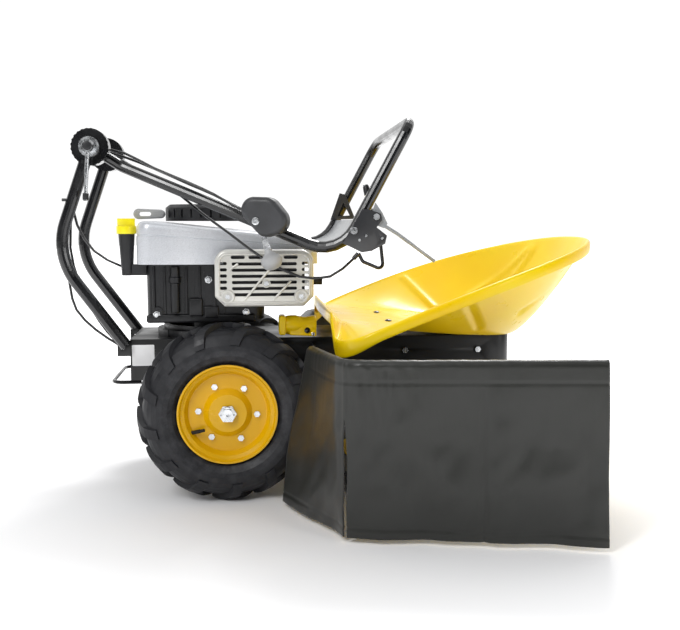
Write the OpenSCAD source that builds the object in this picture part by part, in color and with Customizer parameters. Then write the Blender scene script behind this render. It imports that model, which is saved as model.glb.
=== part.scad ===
// Walk-behind single-drum mower: two driven wheels, a vertical-shaft engine on a sheet-steel beam,
// a drum under the front of the beam, a pressed deflector tray over it and side shields of sheet PVC.
// Millimetres. X forwards, Y to the left, Z up. The origin is on the ground, at the middle of the plan.

/* [Wheels] */
// Diameter over the tread lugs
tyre_d = 414; // [390:2:440]
// Width of the tyre
tyre_w = 104; // [92:2:114]
// Distance between the middle planes of the wheels
track_w = 400; // [392:2:440]
// Diameter over the rim flanges
rim_d = 228; // [224:1:236]
// Tread lugs on each side of a tyre
lug_count = 13; // [9:1:15]
// Bolt circle of the wheel disc
wheel_pcd = 134; // [120:1:140]
// Diameter of the axle shafts
axle_d = 25; // [18:1:30]

/* [Chassis] */
// Width of the beam
beam_w = 240; // [228:2:250]
// Height of the beam
beam_h = 98; // [90:1:108]
// Beam top above the axle
deck_rise = 159; // [155:1:175]
// Beam length ahead of the axle
beam_front = 694; // [660:2:720]
// Beam length behind the axle
beam_rear = 229; // [222:1:236]
// Thickness of the beam sheet
beam_sheet = 3; // [2:0.5:4]

/* [Mower] */
// Distance from the axle to the drum spindle
spindle_x = 500; // [480:2:520]
// Diameter of the spindle
spindle_d = 25; // [20:1:30]
// Diameter of the cutting disc
disc_d = 600; // [560:5:620]
// Height of the cutting disc above the ground
cut_h = 50; // [48:1:60]
// Diameter of the glide dish
dish_d = 480; // [400:5:500]

/* [Handlebar] */
// Height of the fold pivot above the beam
pivot_rise = 446; // [420:2:480]
// Fold pivot behind the axle
pivot_back = 306; // [296:1:316]
// Tube of the lower handlebar
lower_tube_d = 28; // [24:1:30]
// Tube of the upper handlebar
upper_tube_d = 26; // [22:1:28]
// Wall of both tubes
tube_wall = 2; // [1.5:0.5:3]
// Distance between the lower tubes
lower_gap_w = 260; // [256:1:266]
// Width of the hand bar between tube centres
grip_w = 526; // [500:2:560]
// Diameter of the fold bolts
fold_bolt_d = 12; // [8:1:16]
// Diameter of the toothed pivot discs
pivot_disc_d = 84; // [76:1:92]

/* [Engine] */
// Crankshaft behind the axle
crank_back = 60; // [50:1:70]
// Diameter of the crankshaft
crank_d = 25; // [20:1:28]
// Length of the shroud
shroud_l = 426; // [410:1:430]
// Width of the shroud
shroud_w = 280; // [260:2:284]
// Height of the shroud
shroud_h = 101; // [95:1:110]
// Length of the muffler guard
guard_l = 226; // [210:1:230]
// Height of the muffler guard
guard_h = 130; // [120:1:134]

/* [Tray] */
// Tray nose ahead of the axle
tray_front = 898; // [870:2:920]
// Half-width of the tray at the back
tray_half = 414; // [390:2:440]
// Rise of the rim for each millimetre forwards
rim_slope = 0.34; // [0.28:0.01:0.38]
// Height of the rolled lip
lip_h = 22; // [14:1:26]
// Thickness of the tray sheet
tray_sheet = 3; // [2:0.5:4]

/* [Shields] */
// Length of a side shield
shield_l = 507; // [480:1:520]
// Clearance of the shields above the ground
shield_gap = 10; // [5:1:40]
// Diameter of the shield rails
rail_d = 12; // [8:1:14]
// Thickness of the shield sheet
pvc = 3; // [2:0.5:4]

/* [Hidden] */
$fn = 48;

run_gap = 0.05;     // radial clearance of a running shaft
seat_gap = 0.5;     // clearance between faces that slide past each other
bolt_gap = 0.2;     // radial clearance of a bolt in its hole

axle_z = tyre_d / 2;
deck_z = axle_z + deck_rise;
pivot = [-pivot_back, 0, pivot_rise];
lower_y = lower_gap_w / 2;
lower_route = rounded([pivot + [-11, lower_y, -31], [-392, lower_y, 200],
    [-beam_rear - 7, lower_y, -14]], [0, 150, 0], 10);
rear_reach = max([for (p = lower_route) -p[0]]) + lower_tube_d / 2;
axle_x = -(tray_front - rear_reach) / 2;
beam_under = deck_z - beam_h;

black = "#1b1b1c";
casting = "#26272a";
yellow = "#f7c600";
silver = "#c9ccd1";
zinc = "#d8dadd";
rubber = "#26262a";
grey = "#8e9094";
dark_grey = "#4a4b4d";
tarp_green = "#2f322f";

// ---- placing ----
module at_axle() {
    translate([axle_x, 0, axle_z]) children();
}
module on_deck() {
    translate([axle_x, 0, deck_z]) children();
}
module at_spindle() {
    translate([axle_x + spindle_x, 0, 0]) children();
}
module at_crank() {
    on_deck() translate([-crank_back, 0, 0]) children();
}
// The right wheel's own frame: Z points out of the machine.
module at_wheel() {
    at_axle() translate([0, -track_w / 2, 0]) rotate([90, 0, 0]) children();
}
module mirrored() {
    mirror([0, 1, 0]) children();
}
module both_sides() {
    children();
    mirrored() children();
}

// ---- common shapes ----
module tube_z(od, id, h) {
    difference() {
        cylinder(d = od, h = h);
        translate([0, 0, -1]) cylinder(d = id, h = h + 2);
    }
}
module rod_y(d, y0, y1) {
    translate([0, y0, 0]) rotate([-90, 0, 0]) cylinder(d = d, h = y1 - y0);
}
module rod_x(d, x0, x1) {
    translate([x0, 0, 0]) rotate([0, 90, 0]) cylinder(d = d, h = x1 - x0);
}
module hex_head(across, h) {
    cylinder(d = across / cos(30), h = h, $fn = 6);
}
module plate(l, w, r) {
    for (x = [-1, 1], y = [-1, 1])
        translate([x * (l / 2 - r), y * (w / 2 - r)]) circle(r = r);
    square([l - 2 * r, w], center = true);
    square([l, w - 2 * r], center = true);
}
function unit(v) = v / norm(v);
module between(a, b) {
    d = b - a;
    translate(a)
        rotate([0, atan2(norm([d[0], d[1]]), d[2]), atan2(d[1], d[0])])
            linear_extrude(norm(d))
                children();
}

// ---- swept tubes ----
// A corner of a route, rounded to a radius: points on the arc that joins the two straights.
function corner(a, p, b, r, steps) =
    let (
        u = unit(p - a),
        w = unit(b - p),
        turn = acos(u * w),
        inward = unit(w - u),
        centre = p + inward * (r / cos(turn / 2)),
        start = p - u * (r * tan(turn / 2)) - centre,
        side = u * r
    )
    [for (i = [0:steps]) centre + start * cos(turn * i / steps) + side * sin(turn * i / steps)];
function rounded(pts, radii, steps = 6) =
    [for (i = [0:len(pts) - 1])
        let (end = i == 0 || i == len(pts) - 1)
        each (end ? [pts[i]] : corner(pts[i - 1], pts[i], pts[i + 1], radii[i], steps))];
// A smooth curve through chosen points.
function spline_at(a, b, c, d, t) =
    0.5 * (2 * b + (c - a) * t + (2 * a - 5 * b + 4 * c - d) * t * t + (3 * b - a - 3 * c + d) * t * t * t);
function smooth(pts, steps = 3) =
    let (n = len(pts) - 1)
    concat(
        [for (i = [0:n - 1], k = [0:steps - 1])
            spline_at(pts[max(i - 1, 0)], pts[i], pts[i + 1], pts[min(i + 2, n)], k / steps)],
        [pts[n]]);
function tangents(path) =
    let (n = len(path) - 1)
    [for (i = [0:n])
        i == 0 ? unit(path[1] - path[0]) :
        i == n ? unit(path[n] - path[n - 1]) :
        unit(unit(path[i + 1] - path[i]) + unit(path[i] - path[i - 1]))];
function carry(dirs, side, i = 0) =
    i >= len(dirs) ? [] :
    let (s = unit(side - dirs[i] * (side * dirs[i])))
    concat([s], carry(dirs, s, i + 1));
function ring_pts(path, d, sides) =
    let (dirs = tangents(path), sds = carry(dirs, [0.31, 0.2, 0.93]))
    [for (i = [0:len(path) - 1], k = [0:sides - 1])
        path[i] + d / 2 * (sds[i] * cos(360 * k / sides) + cross(dirs[i], sds[i]) * sin(360 * k / sides))];
module swept_rod(path, d, sides = 8) {
    rings = len(path);
    top = (rings - 1) * sides;
    polyhedron(
        points = ring_pts(path, d, sides),
        faces = concat(
            [[for (k = [0:sides - 1]) k]],
            [for (i = [0:rings - 2], k = [0:sides - 1])
                [i * sides + k, (i + 1) * sides + k,
                 (i + 1) * sides + (k + 1) % sides, i * sides + (k + 1) % sides]],
            [[for (k = [sides - 1:-1:0]) top + k]]),
        convexity = 8);
}
module swept_tube(path, d, wall, sides = 16) {
    rings = len(path);
    inner = rings * sides;
    top = (rings - 1) * sides;
    polyhedron(
        points = concat(ring_pts(path, d, sides), ring_pts(path, d - 2 * wall, sides)),
        faces = concat(
            [for (i = [0:rings - 2], k = [0:sides - 1])
                [i * sides + k, (i + 1) * sides + k,
                 (i + 1) * sides + (k + 1) % sides, i * sides + (k + 1) % sides]],
            [for (i = [0:rings - 2], k = [0:sides - 1])
                [inner + i * sides + (k + 1) % sides, inner + (i + 1) * sides + (k + 1) % sides,
                 inner + (i + 1) * sides + k, inner + i * sides + k]],
            [for (k = [0:sides - 1]) [inner + k, k, (k + 1) % sides, inner + (k + 1) % sides]],
            [for (k = [0:sides - 1])
                [top + k, inner + top + k, inner + top + (k + 1) % sides, top + (k + 1) % sides]]),
        convexity = 8);
}

// ---- wheels, made for the right side ----
rim_r = rim_d / 2;
seat_r = rim_r - 12;        // where the tyre bead sits
well_r = rim_r - 17;
rim_half = 40;
disc_out = 14;              // outer face of the wheel disc
disc_in = 11;
bead_half = 30.5;
crown_h = tyre_d / 2 - 150;
nut_across = 36;
wheel_bolt_d = 8;
axle_end = 42;
bolt_turn = -4;
axle_inner = track_w / 2 - 6;

function arch(rise, half, from, to, n) =
    [for (i = [0:n])
        let (a = from + (to - from) * i / n)
        [150 + rise * cos(a), half * sin(a)]];
module wheel_holes(d) {
    for (i = [0:5])
        rotate(i * 60 + bolt_turn) translate([wheel_pcd / 2, 0, -20]) cylinder(d = d, h = 60);
}
module valve_line() {
    translate([-97, -50, 9]) rotate([62, 0, 107.5]) children();
}
module tyre_section(gain, half) {
    polygon(concat(arch(crown_h - 12 + gain, half, -140, 140, 18),
        [[seat_r + 1, bead_half], [seat_r + 1, bead_half - 7]],
        arch(crown_h - 22, half - 9, 138, -138, 16),
        [[seat_r + 1, 7 - bead_half], [seat_r + 1, -bead_half]]));
}
module lug(upper) {
    s = upper ? 1 : -1;
    rotate([-90, 0, 0])
        translate([0, 0, 152])
            linear_extrude(crown_h)
                polygon([[40, s * 6], [14, s * 6], [-26, -s * 34], [-36, -s * 56],
                    [-14, -s * 56], [-2, -s * 34]]);
}
module tyre_right() {
    color(rubber) at_wheel() {
        rotate_extrude($fn = 96) tyre_section(0, tyre_w / 2 - 4);
        intersection() {
            rotate_extrude($fn = 96) polygon(concat(
                arch(crown_h, tyre_w / 2, -78, 78, 14),
                arch(crown_h - 16, tyre_w / 2 - 8, 76, -76, 14)));
            for (i = [0:lug_count - 1]) {
                rotate(180 + i * 360 / lug_count) lug(true);
                rotate(180 + (i + 0.5) * 360 / lug_count) lug(false);
            }
        }
    }
}
module tyre_left() {
    mirrored() tyre_right();
}
module rim_right() {
    color(yellow) at_wheel() difference() {
        rotate_extrude($fn = 96) polygon([
            [rim_r, rim_half], [rim_r - 4, rim_half], [rim_r - 8, 33], [rim_r - 16, 29],
            [rim_r - 24, disc_out], [56, disc_out], [43, 27], [14, 27], [14, 24], [41, 24],
            [54, disc_in], [well_r - 4, disc_in], [well_r, 6], [well_r, -31], [rim_r - 7, -36],
            [rim_r - 4, -rim_half], [rim_r, -rim_half], [rim_r, 4 - rim_half], [seat_r, -31],
            [seat_r, 31], [rim_r, rim_half - 4]]);
        wheel_holes(wheel_bolt_d + 2 * bolt_gap);
        valve_line() cylinder(d = 9 + 2 * bolt_gap, h = 80);
    }
}
module rim_left() {
    mirrored() rim_right();
}
module axle_right() {
    color(zinc) at_wheel() difference() {
        union() {
            translate([0, 0, -axle_inner]) cylinder(d = axle_d, h = axle_inner + axle_end);
            translate([0, 0, 3]) cylinder(d = 158, h = disc_in - 3);
            translate([0, 0, -18]) cylinder(d1 = axle_d + 8, d2 = 60, h = 21);
        }
        wheel_holes(wheel_bolt_d + 2 * bolt_gap);
        translate([0, 0, axle_end - 6]) cylinder(d = 8, h = 10);
    }
}
module axle_left() {
    mirrored() axle_right();
}
module wheel_bolts_right() {
    color(zinc) at_wheel() {
        for (i = [0:5])
            rotate(i * 60 + bolt_turn) translate([wheel_pcd / 2, 0, 0]) {
                translate([0, 0, -4]) cylinder(d = wheel_bolt_d, h = disc_out + 4);
                translate([0, 0, disc_out]) hex_head(13, 5.5);
                translate([0, 0, -4]) hex_head(13, 7);
            }
        translate([0, 0, 27]) difference() {
            union() {
                hex_head(nut_across, 7);
                cylinder(d = nut_across - 2, h = 12);
            }
            translate([0, 0, -1]) cylinder(d = axle_d + 2 * bolt_gap, h = 20);
            for (i = [0:5])
                rotate(i * 60) translate([8, -2, 8]) cube([14, 4, 10]);
        }
    }
}
module wheel_bolts_left() {
    mirrored() wheel_bolts_right();
}
module valve_right() {
    color(black) at_wheel() valve_line() {
        cylinder(d = 9, h = 40);
        translate([0, 0, 40]) cylinder(d = 7.5, h = 12);
    }
}
module valve_left() {
    mirrored() valve_right();
}

// ---- chassis ----
beam_mid = (beam_front - beam_rear) / 2;
beam_len = beam_front + beam_rear;
gear_back = 165;            // gearbox input shaft behind the axle
input_d = 16;
house_d = 90;               // spindle housing
engine_bolt_x = 82;
tray_bolt_x = 390;
tray_bolt_y = 98;
side_bolts = [428, 609];
rail_root_x = 204;
rail_root_z = -18;
bolt_d = 8;

module beam_outline(inset) {
    translate([beam_mid, 0]) square([beam_len - 2 * inset, beam_w - 2 * 36], center = true);
    translate([beam_mid - 18, 0])
        square([beam_len - 36 - 2 * inset, beam_w - 2 * inset], center = true);
    for (s = [-1, 1])
        translate([beam_front - 36, s * (beam_w / 2 - 36)]) circle(r = 36 - inset);
}
module beam_outer() {
    intersection() {
        translate([beam_mid, 0]) square([beam_len, beam_w], center = true);
        beam_outline(0);
    }
}
module chassis_beam() {
    color(black) on_deck() difference() {
        translate([0, 0, -beam_h]) linear_extrude(beam_h) beam_outer();
        translate([0, 0, beam_sheet - beam_h])
            linear_extrude(beam_h - 2 * beam_sheet) beam_outline(beam_sheet);
        translate([-crank_back, 0, -beam_sheet - 1]) cylinder(d = crank_d + 20, h = beam_sheet + 2);
        translate([-gear_back, 0, -beam_h - 1]) cylinder(d = input_d + 20, h = beam_sheet + 2);
        translate([spindle_x, 0, -beam_h - 1]) cylinder(d = house_d + 2 * bolt_gap, h = beam_sheet + 2);
        for (x = [-crank_back - engine_bolt_x, engine_bolt_x - crank_back], s = [-1, 1])
            translate([x, s * engine_bolt_x, -beam_sheet - 1])
                cylinder(d = bolt_d + 2 * bolt_gap, h = beam_sheet + 2);
        for (s = [-1, 1])
            translate([tray_bolt_x, s * tray_bolt_y, -beam_sheet - 1])
                cylinder(d = bolt_d + 2 * bolt_gap, h = beam_sheet + 2);
        for (x = side_bolts)
            translate([x, 0, -35]) rod_y(bolt_d + 2 * bolt_gap, -beam_w, beam_w);
        translate([rail_root_x, 0, rail_root_z]) rod_y(rail_d + 2 * bolt_gap, -beam_w, beam_w);
    }
    color(black) on_deck() both_sides() {
        translate([-beam_rear - 30, lower_y - 20, -40]) difference() {
            cube([30, 6, 36]);
            translate([14, 0, 20]) rod_y(bolt_d + 2 * bolt_gap, -1, 7);
        }
    }
}
module rear_bar() {
    back = -beam_rear - 44;
    inside = 24 - beam_rear;
    route = rounded([[inside, -116, 0], [back, -116, 0], [back, 116, 0], [inside, 116, 0]],
        [0, 26, 26, 0], 5);
    color(black) on_deck() translate([0, 0, -beam_h - 4.5]) swept_rod(route, 9, 10);
}
module deck_bolts() {
    color(zinc) on_deck() {
        for (x = side_bolts) both_sides()
            translate([x, -beam_w / 2, -35]) {
                rod_y(bolt_d, 0, 14);
                rotate([90, 0, 0]) hex_head(13, 6);
            }
        for (s = [-1, 1])
            translate([tray_bolt_x, s * tray_bolt_y, 0]) {
                translate([0, 0, -14]) cylinder(d = bolt_d, h = 17 + tray_floor(tray_bolt_x));
                tube_z(18, bolt_d, tray_floor(tray_bolt_x) - tray_sheet - 1.2);
                translate([0, 0, tray_floor(tray_bolt_x) + 1.3])
                    intersection() {
                        translate([0, 0, -8]) sphere(r = 12);
                        cylinder(r = 12, h = 5);
                    }
            }
    }
}
gear_top = axle_z - (deck_z - beam_h);
module gearbox() {
    bottom = -56;
    color(casting) at_axle() difference() {
        union() {
            translate([-72, 0, bottom]) linear_extrude(-gear_top - bottom) plate(260, 124, 16);
            rod_y(104, -62, 62);
            rod_y(62, -140, 140);
        }
        translate([-72, 0, bottom + 9]) linear_extrude(-gear_top - bottom - 18) plate(242, 106, 8);
        rod_y(86, -53, 53);
        rod_y(axle_d + 2 * run_gap, -150, 150);
        translate([-gear_back, 0, 0]) cylinder(d = input_d + 2 * run_gap, h = 100);
    }
}
input_top = -beam_h / 2 - 12;
module input_shaft() {
    color(zinc) on_deck() translate([-gear_back, 0, 0]) {
        translate([0, 0, -beam_h - 90]) cylinder(d = input_d, h = 90 + beam_h + input_top);
        translate([0, 0, input_top - 20]) pulley(90, input_d);
    }
}
belt_w = 11;
module pulley(d, bore) {
    rotate_extrude($fn = 72) polygon([[bore / 2, 0], [d / 2, 0], [d / 2, 2], [d / 2 - 10, 6.5],
        [d / 2 - 10, 11.5], [d / 2, 16], [d / 2, 18], [bore / 2, 18]]);
}
engine_pulley_d = 64;
drum_pulley_d = 150;
low_groove = input_top - 20;
high_groove = low_groove + 30;
module belt_loop(x0, r0, x1, r1, z) {
    translate([0, 0, z]) linear_extrude(8) difference() {
        hull() {
            translate([x0, 0]) circle(r = r0 + 4);
            translate([x1, 0]) circle(r = r1 + 4);
        }
        hull() {
            translate([x0, 0]) circle(r = r0 - 4);
            translate([x1, 0]) circle(r = r1 - 4);
        }
    }
}
module belts() {
    color(black) on_deck() {
        belt_loop(-gear_back, 45, -crank_back, engine_pulley_d / 2, low_groove + 5);
        belt_loop(-crank_back, engine_pulley_d / 2, spindle_x, drum_pulley_d / 2, high_groove + 5);
    }
}

// ---- engine, in the frame of the crankshaft on the beam top ----
case_top = 176;
case_front = 148;
case_back = 130;
case_half = 112;
shroud_back = 150;
fan_d = 182;
tank_back = 106;
plug_z = 131;
plug_y = -42;
fin_pitch = 9;

module engine_block() {
    color(casting) at_crank() difference() {
        union() {
            cylinder(d = 230, h = 16);
            translate([0, 0, 16]) cylinder(d = 200, h = 30);
            translate([9, 0, 44]) linear_extrude(case_top - 44)
                plate(case_front + case_back, 2 * case_half, 26);
            for (x = [-96:24:48]) for (s = [-1, 1])
                translate([x, s * (case_half - 1) - 2.5, 50]) cube([6, 5, case_top - 68]);
            translate([-104, 0, 64]) rod_y(24, -case_half - 6, -case_half + 4);
            translate([-4, -case_half - 4, 50]) cube([44, 8, 18]);
        }
        translate([9, 0, 26]) linear_extrude(case_top - 44)
            plate(case_front + case_back - 28, 2 * case_half - 28, 16);
        cylinder(d = 180, h = 30);
        translate([0, 0, -1]) cylinder(d = crank_d + 2 * run_gap, h = case_top + 2);
        for (x = [-engine_bolt_x, engine_bolt_x], y = [-engine_bolt_x, engine_bolt_x])
            translate([x, y, -1]) cylinder(d = bolt_d + 2 * bolt_gap, h = 18);
    }
    color(casting) at_crank() difference() {
        translate([0, 0, 0]) cylinder(d = 60, h = 40);
        translate([0, 0, -1]) cylinder(d = crank_d + 2 * run_gap, h = 60);
    }
}
module cylinder_fins() {
    color(casting) at_crank() difference() {
        union() {
            translate([case_front + 9, 0, plug_z - 8]) rod_x(96, 0, 76);
            for (i = [0:7])
                translate([case_front + 14 + i * fin_pitch, -62, plug_z - 58]) cube([4, 124, 94]);
            translate([case_front + 82, -66, plug_z - 60]) cube([16, 132, 98]);
        }
        translate([case_front, plug_y, plug_z]) rod_x(14, 60, 100);
    }
}
module crankshaft() {
    color(zinc) at_crank() {
        translate([0, 0, -beam_h + 12]) cylinder(d = crank_d, h = beam_h - 12 + 220);
    }
}
module engine_pulley() {
    color(zinc) at_crank() {
        translate([0, 0, low_groove]) pulley(engine_pulley_d, crank_d);
        translate([0, 0, high_groove]) pulley(engine_pulley_d, crank_d);
        translate([0, 0, low_groove + 18])
            tube_z(crank_d + 16, crank_d, high_groove - low_groove - 18);
    }
}
module flywheel() {
    color(silver) at_crank() translate([0, 0, case_top + 12]) {
        tube_z(44, crank_d, 30);
        tube_z(168, 40, 12);
        for (i = [0:15])
            rotate(i * 22.5) translate([50, -1.5, 12]) cube([32, 3, 34]);
    }
}
module shroud_body(inset, h) {
    hull() {
        for (x = [inset + 34, shroud_l - inset - 52], y = [-1, 1])
            translate([x, y * (shroud_w / 2 - inset - 34), 0]) {
                cylinder(r = 34, h = h - 26, $fn = 32);
                translate([0, 0, h - 26]) cylinder(r1 = 34, r2 = 22, h = 26, $fn = 32);
            }
        for (y = [-1, 1])
            translate([shroud_l - inset - 34, y * (shroud_w / 2 - inset - 34), 0])
                cylinder(r = 34, h = h - 52, $fn = 32);
    }
}
module shroud() {
    color(silver) at_crank() translate([-shroud_back, 0, case_top + 1]) difference() {
        shroud_body(0, shroud_h);
        translate([0, 0, -1]) shroud_body(3, shroud_h - 2);
        translate([shroud_back, 0, 10]) cylinder(d = fan_d - 12, h = shroud_h);
    }
}
module fan_guard() {
    h = 40;
    color(black) at_crank() translate([0, 0, case_top + 1 + shroud_h]) difference() {
        union() {
            tube_z(fan_d, fan_d - 8, h - 8);
            translate([0, 0, h - 8]) cylinder(d1 = fan_d, d2 = fan_d - 20, h = 8);
        }
        translate([0, 0, h - 12]) cylinder(d = fan_d - 24, h = 7);
        translate([0, 0, -1]) cylinder(d = fan_d - 8, h = h - 8);
        for (i = [0:23])
            rotate(i * 15) translate([fan_d / 2 - 30, -2.5, 8]) cube([40, 5, 20]);
        for (i = [0:23])
            rotate(i * 15 + 7.5) translate([34, -2, h - 20]) cube([42, 4, 40]);
    }
}
module fuel_tank() {
    color(black) at_crank() translate([-tank_back, shroud_w / 2 + 2, 116]) difference() {
        cube([190, 62, 112]);
        translate([4, 4, 4]) cube([182, 54, 104]);
        translate([46, 31, 100]) cylinder(d = 38, h = 20);
    }
    color(black) at_crank() translate([-tank_back + 46, shroud_w / 2 + 33, 228]) tube_z(46, 38, 8);
}
module fuel_cap() {
    color(black) at_crank() translate([-tank_back + 46, shroud_w / 2 + 33, 236]) {
        cylinder(d = 52, h = 14);
        translate([0, 0, -14]) cylinder(d = 37, h = 14);
        for (i = [0:11]) rotate(i * 30) translate([25, -3, 0]) cube([3, 6, 12]);
    }
}
neck_x = -175;
neck_reach = 40.8;
neck_y = -88;
module oil_neck() {
    color(black) at_crank() translate([neck_x, neck_y, 150]) {
        difference() {
            cylinder(d1 = 26, d2 = 38, h = 98);
            translate([0, 0, -1]) cylinder(d = 20, h = 100);
        }
        translate([4, -8, 0]) cube([neck_reach, 16, 26]);
    }
}
module oil_cap() {
    color(yellow) at_crank() translate([neck_x, neck_y, 248]) {
        cylinder(d = 46, h = 18);
        translate([-20, -6, 18]) cube([40, 12, 18]);
        translate([0, 0, -90]) cylinder(d = 8, h = 90);
    }
}
grip_x = -126;
module starter_grip() {
    color(grey) at_crank() translate([grip_x, -40, case_top + shroud_h + 14]) {
        difference() {
            rotate([90, 0, 0]) translate([0, 4, -10]) linear_extrude(20) plate(76, 26, 12);
            rotate([90, 0, 0]) translate([-10, 4, -12]) linear_extrude(24) plate(30, 10, 4.9);
        }
    }
}
guard_mid = 147;
guard_z = 148;
module guard_outline(inset) {
    r = 30 - inset;
    l = guard_l / 2 - inset;
    h = guard_h / 2 - inset;
    hull() {
        for (s = [-1, 1]) {
            translate([s * (l - r), h - r]) circle(r = r);
            translate([s * (l - 8), -h + 26]) circle(r = 8);
            translate([s * (l - 26), -h + 8]) circle(r = 8);
        }
    }
}
module at_guard() {
    at_crank() translate([guard_mid, -200, guard_z]) rotate([90, 0, 0]) children();
}
module muffler() {
    color(black) at_crank() difference() {
        translate([guard_mid - 93, -188, guard_z - 48]) cube([186, 44, 96]);
        translate([guard_mid - 90, -185, guard_z - 45]) cube([180, 38, 90]);
    }
    color(black) at_crank() translate([guard_mid + 26, 0, guard_z - 20]) rod_y(26, -144, -66);
}
module muffler_guard() {
    slot_w = guard_l - 84;
    color(silver) at_guard() difference() {
        translate([0, 0, -52]) linear_extrude(55) guard_outline(0);
        translate([0, 0, -60]) linear_extrude(60) guard_outline(3);
        for (i = [0:5])
            translate([-slot_w / 2, 24 - i * 14, -1]) cube([slot_w, 5, 8]);
        for (i = [0:4]) for (s = [-1, 1])
            translate([s * (guard_l / 2 - 24) - 6, 30 - i * 16, -1]) cube([12, 9, 8]);
        for (i = [0:3])
            translate([-72 + i * 38, guard_h / 2 - 20, -1]) cube([28, 7, 8]);
        translate([-62, 12 - guard_h / 2, -1]) cube([124, 8, 8]);
        for (p = guard_screw_at) translate([p[0], p[1], -1]) cylinder(d = 6, h = 8);
    }
}
guard_screw_at = [[-84, -42], [84, -42], [4, -12]];
module guard_screws() {
    color(zinc) at_guard() for (p = guard_screw_at)
        translate([p[0], p[1], 0]) {
            translate([0, 0, -12]) cylinder(d = 5.6, h = 15);
            translate([0, 0, 3]) hex_head(10, 5);
        }
}
module spark_plug() {
    color(zinc) at_crank() translate([case_front, plug_y, plug_z]) {
        rod_x(13.6, 66, 98);
        translate([98, 0, 0]) rotate([0, 90, 0]) hex_head(18, 10);
        rod_x(9, 108, 132);
    }
}
module plug_boot() {
    color(black) at_crank() translate([case_front, plug_y, plug_z]) {
        difference() {
            rod_x(20, 112, 144);
            rod_x(9.2, 100, 134);
        }
        translate([139, 0, -4]) rod_y(10, 0, 34);
    }
}
module air_filter() {
    color(black) at_crank() translate([case_front + 20, 72, 96]) difference() {
        linear_extrude(76) translate([38, 26]) plate(96, 58, 12);
        translate([0, 0, 4]) linear_extrude(68) translate([38, 26]) plate(88, 50, 8);
    }
    color(black) at_crank() translate([case_front + 50, 0, 118]) rod_y(30, 62, 76);
}

// ---- drum ----
house_top = 38;
disc_z = cut_h;
knife_r = disc_d / 2 - 22;
pin_d = 10;
module spindle_housing() {
    color(casting) at_spindle() difference() {
        union() {
            translate([0, 0, beam_under - 16]) cylinder(d = house_d, h = house_top + 16);
            translate([0, 0, beam_under - 8]) cylinder(d = house_d + 60, h = 8);
        }
        translate([0, 0, beam_under - 20]) cylinder(d = spindle_d + 2 * run_gap, h = 100);
    }
}
spindle_top = deck_z + high_groove + 22;
module spindle() {
    color(zinc) at_spindle() {
        translate([0, 0, 6]) cylinder(d = spindle_d, h = spindle_top - 6);
        translate([0, 0, deck_z + high_groove]) pulley(drum_pulley_d, spindle_d);
    }
}
module mower_drum() {
    top = beam_under - 22;
    color(yellow) at_spindle() difference() {
        union() {
            translate([0, 0, disc_z + 6]) cylinder(d = 430, h = 4);
            translate([0, 0, disc_z + 6]) cylinder(d1 = 400, d2 = 300, h = top - disc_z - 6);
        }
        translate([0, 0, disc_z + 5]) cylinder(d1 = 394, d2 = 292, h = top - disc_z - 9);
        translate([0, 0, -1]) cylinder(d = spindle_d, h = 400);
    }
    color(yellow) at_spindle() translate([0, 0, top - 44]) tube_z(60, spindle_d, 42);
}
module cutting_disc() {
    color(casting) at_spindle() difference() {
        union() {
            translate([0, 0, disc_z]) cylinder(d = disc_d, h = 6, $fn = 96);
            for (s = [-1, 1])
                translate([s * knife_r, 0, disc_z - 9]) cylinder(d = pin_d, h = 22);
            for (s = [-1, 1])
                translate([s * knife_r, 0, disc_z - 9]) cylinder(d = 20, h = 3.5);
        }
        translate([0, 0, -1]) cylinder(d = spindle_d, h = 100);
    }
}
module knife(turn) {
    color(silver) at_spindle() rotate(turn) translate([knife_r, 0, disc_z - 4.8]) difference() {
        linear_extrude(4) {
            circle(d = 38);
            translate([0, -19]) square([52, 38]);
            polygon([[52, -19], [62, 19], [52, 19]]);
        }
        translate([0, 0, -1]) cylinder(d = pin_d + 2 * run_gap, h = 8);
    }
}
module knife_front() {
    knife(0);
}
module knife_back() {
    knife(180);
}
module glide_dish() {
    rim = dish_d / 2;
    color(black) at_spindle() difference() {
        rotate_extrude($fn = 96) polygon([[10, 0], [rim - 80, 0], [rim - 30, 10], [rim, 34],
            [rim - 3, 38], [rim - 32, 14], [rim - 81, 4], [60, 4], [34, cut_h - 12], [10, cut_h - 12]]);
        translate([0, 0, 5]) cylinder(d = spindle_d + 2 * run_gap, h = 60);
    }
}

// ---- handlebar, in the frame of the axle on the beam top ----
disc_thick = 15;
upper_disc_in = lower_y - 14 - seat_gap - disc_thick;
upper_disc_out = upper_disc_in + disc_thick;
upper_y = upper_disc_in;
grip_y = grip_w / 2;

module at_pivot() {
    on_deck() translate(pivot) children();
}
module toothed_disc(y0, y1, bore) {
    difference() {
        rod_y(pivot_disc_d, y0, y1);
        rod_y(bore, y0 - 1, y1 + 1);
    }
}
module lower_handlebar() {
    color(black) both_sides() {
        on_deck() swept_tube(lower_route, lower_tube_d, tube_wall);
        at_pivot() difference() {
            toothed_disc(lower_y - 14, lower_y + 8, fold_bolt_d + 2 * bolt_gap);
            for (i = [0:23])
                rotate([0, i * 15, 0]) translate([pivot_disc_d / 2 - 1.5, lower_y + 2, -3]) cube([3, 8, 6]);
        }
    }
    color(black) on_deck() translate([-372, -lower_y, 326]) rod_x(7, 0, 20);
}
module pivot_bolts() {
    color(zinc) at_pivot() both_sides() {
        rod_y(fold_bolt_d, upper_disc_in - 8, lower_y + 18);
        translate([0, lower_y + 8, 0]) rod_y(46, 0, 8);
        translate([0, upper_disc_in - 0.5, 0]) rotate([90, 0, 0]) hex_head(20, 8);
    }
}
arm_back = [-240, 404];     // X and Z of the bends at the two ends of the long straight
arm_front = [253, 198.5];
arm_run = arm_front[0] - arm_back[0];
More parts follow.
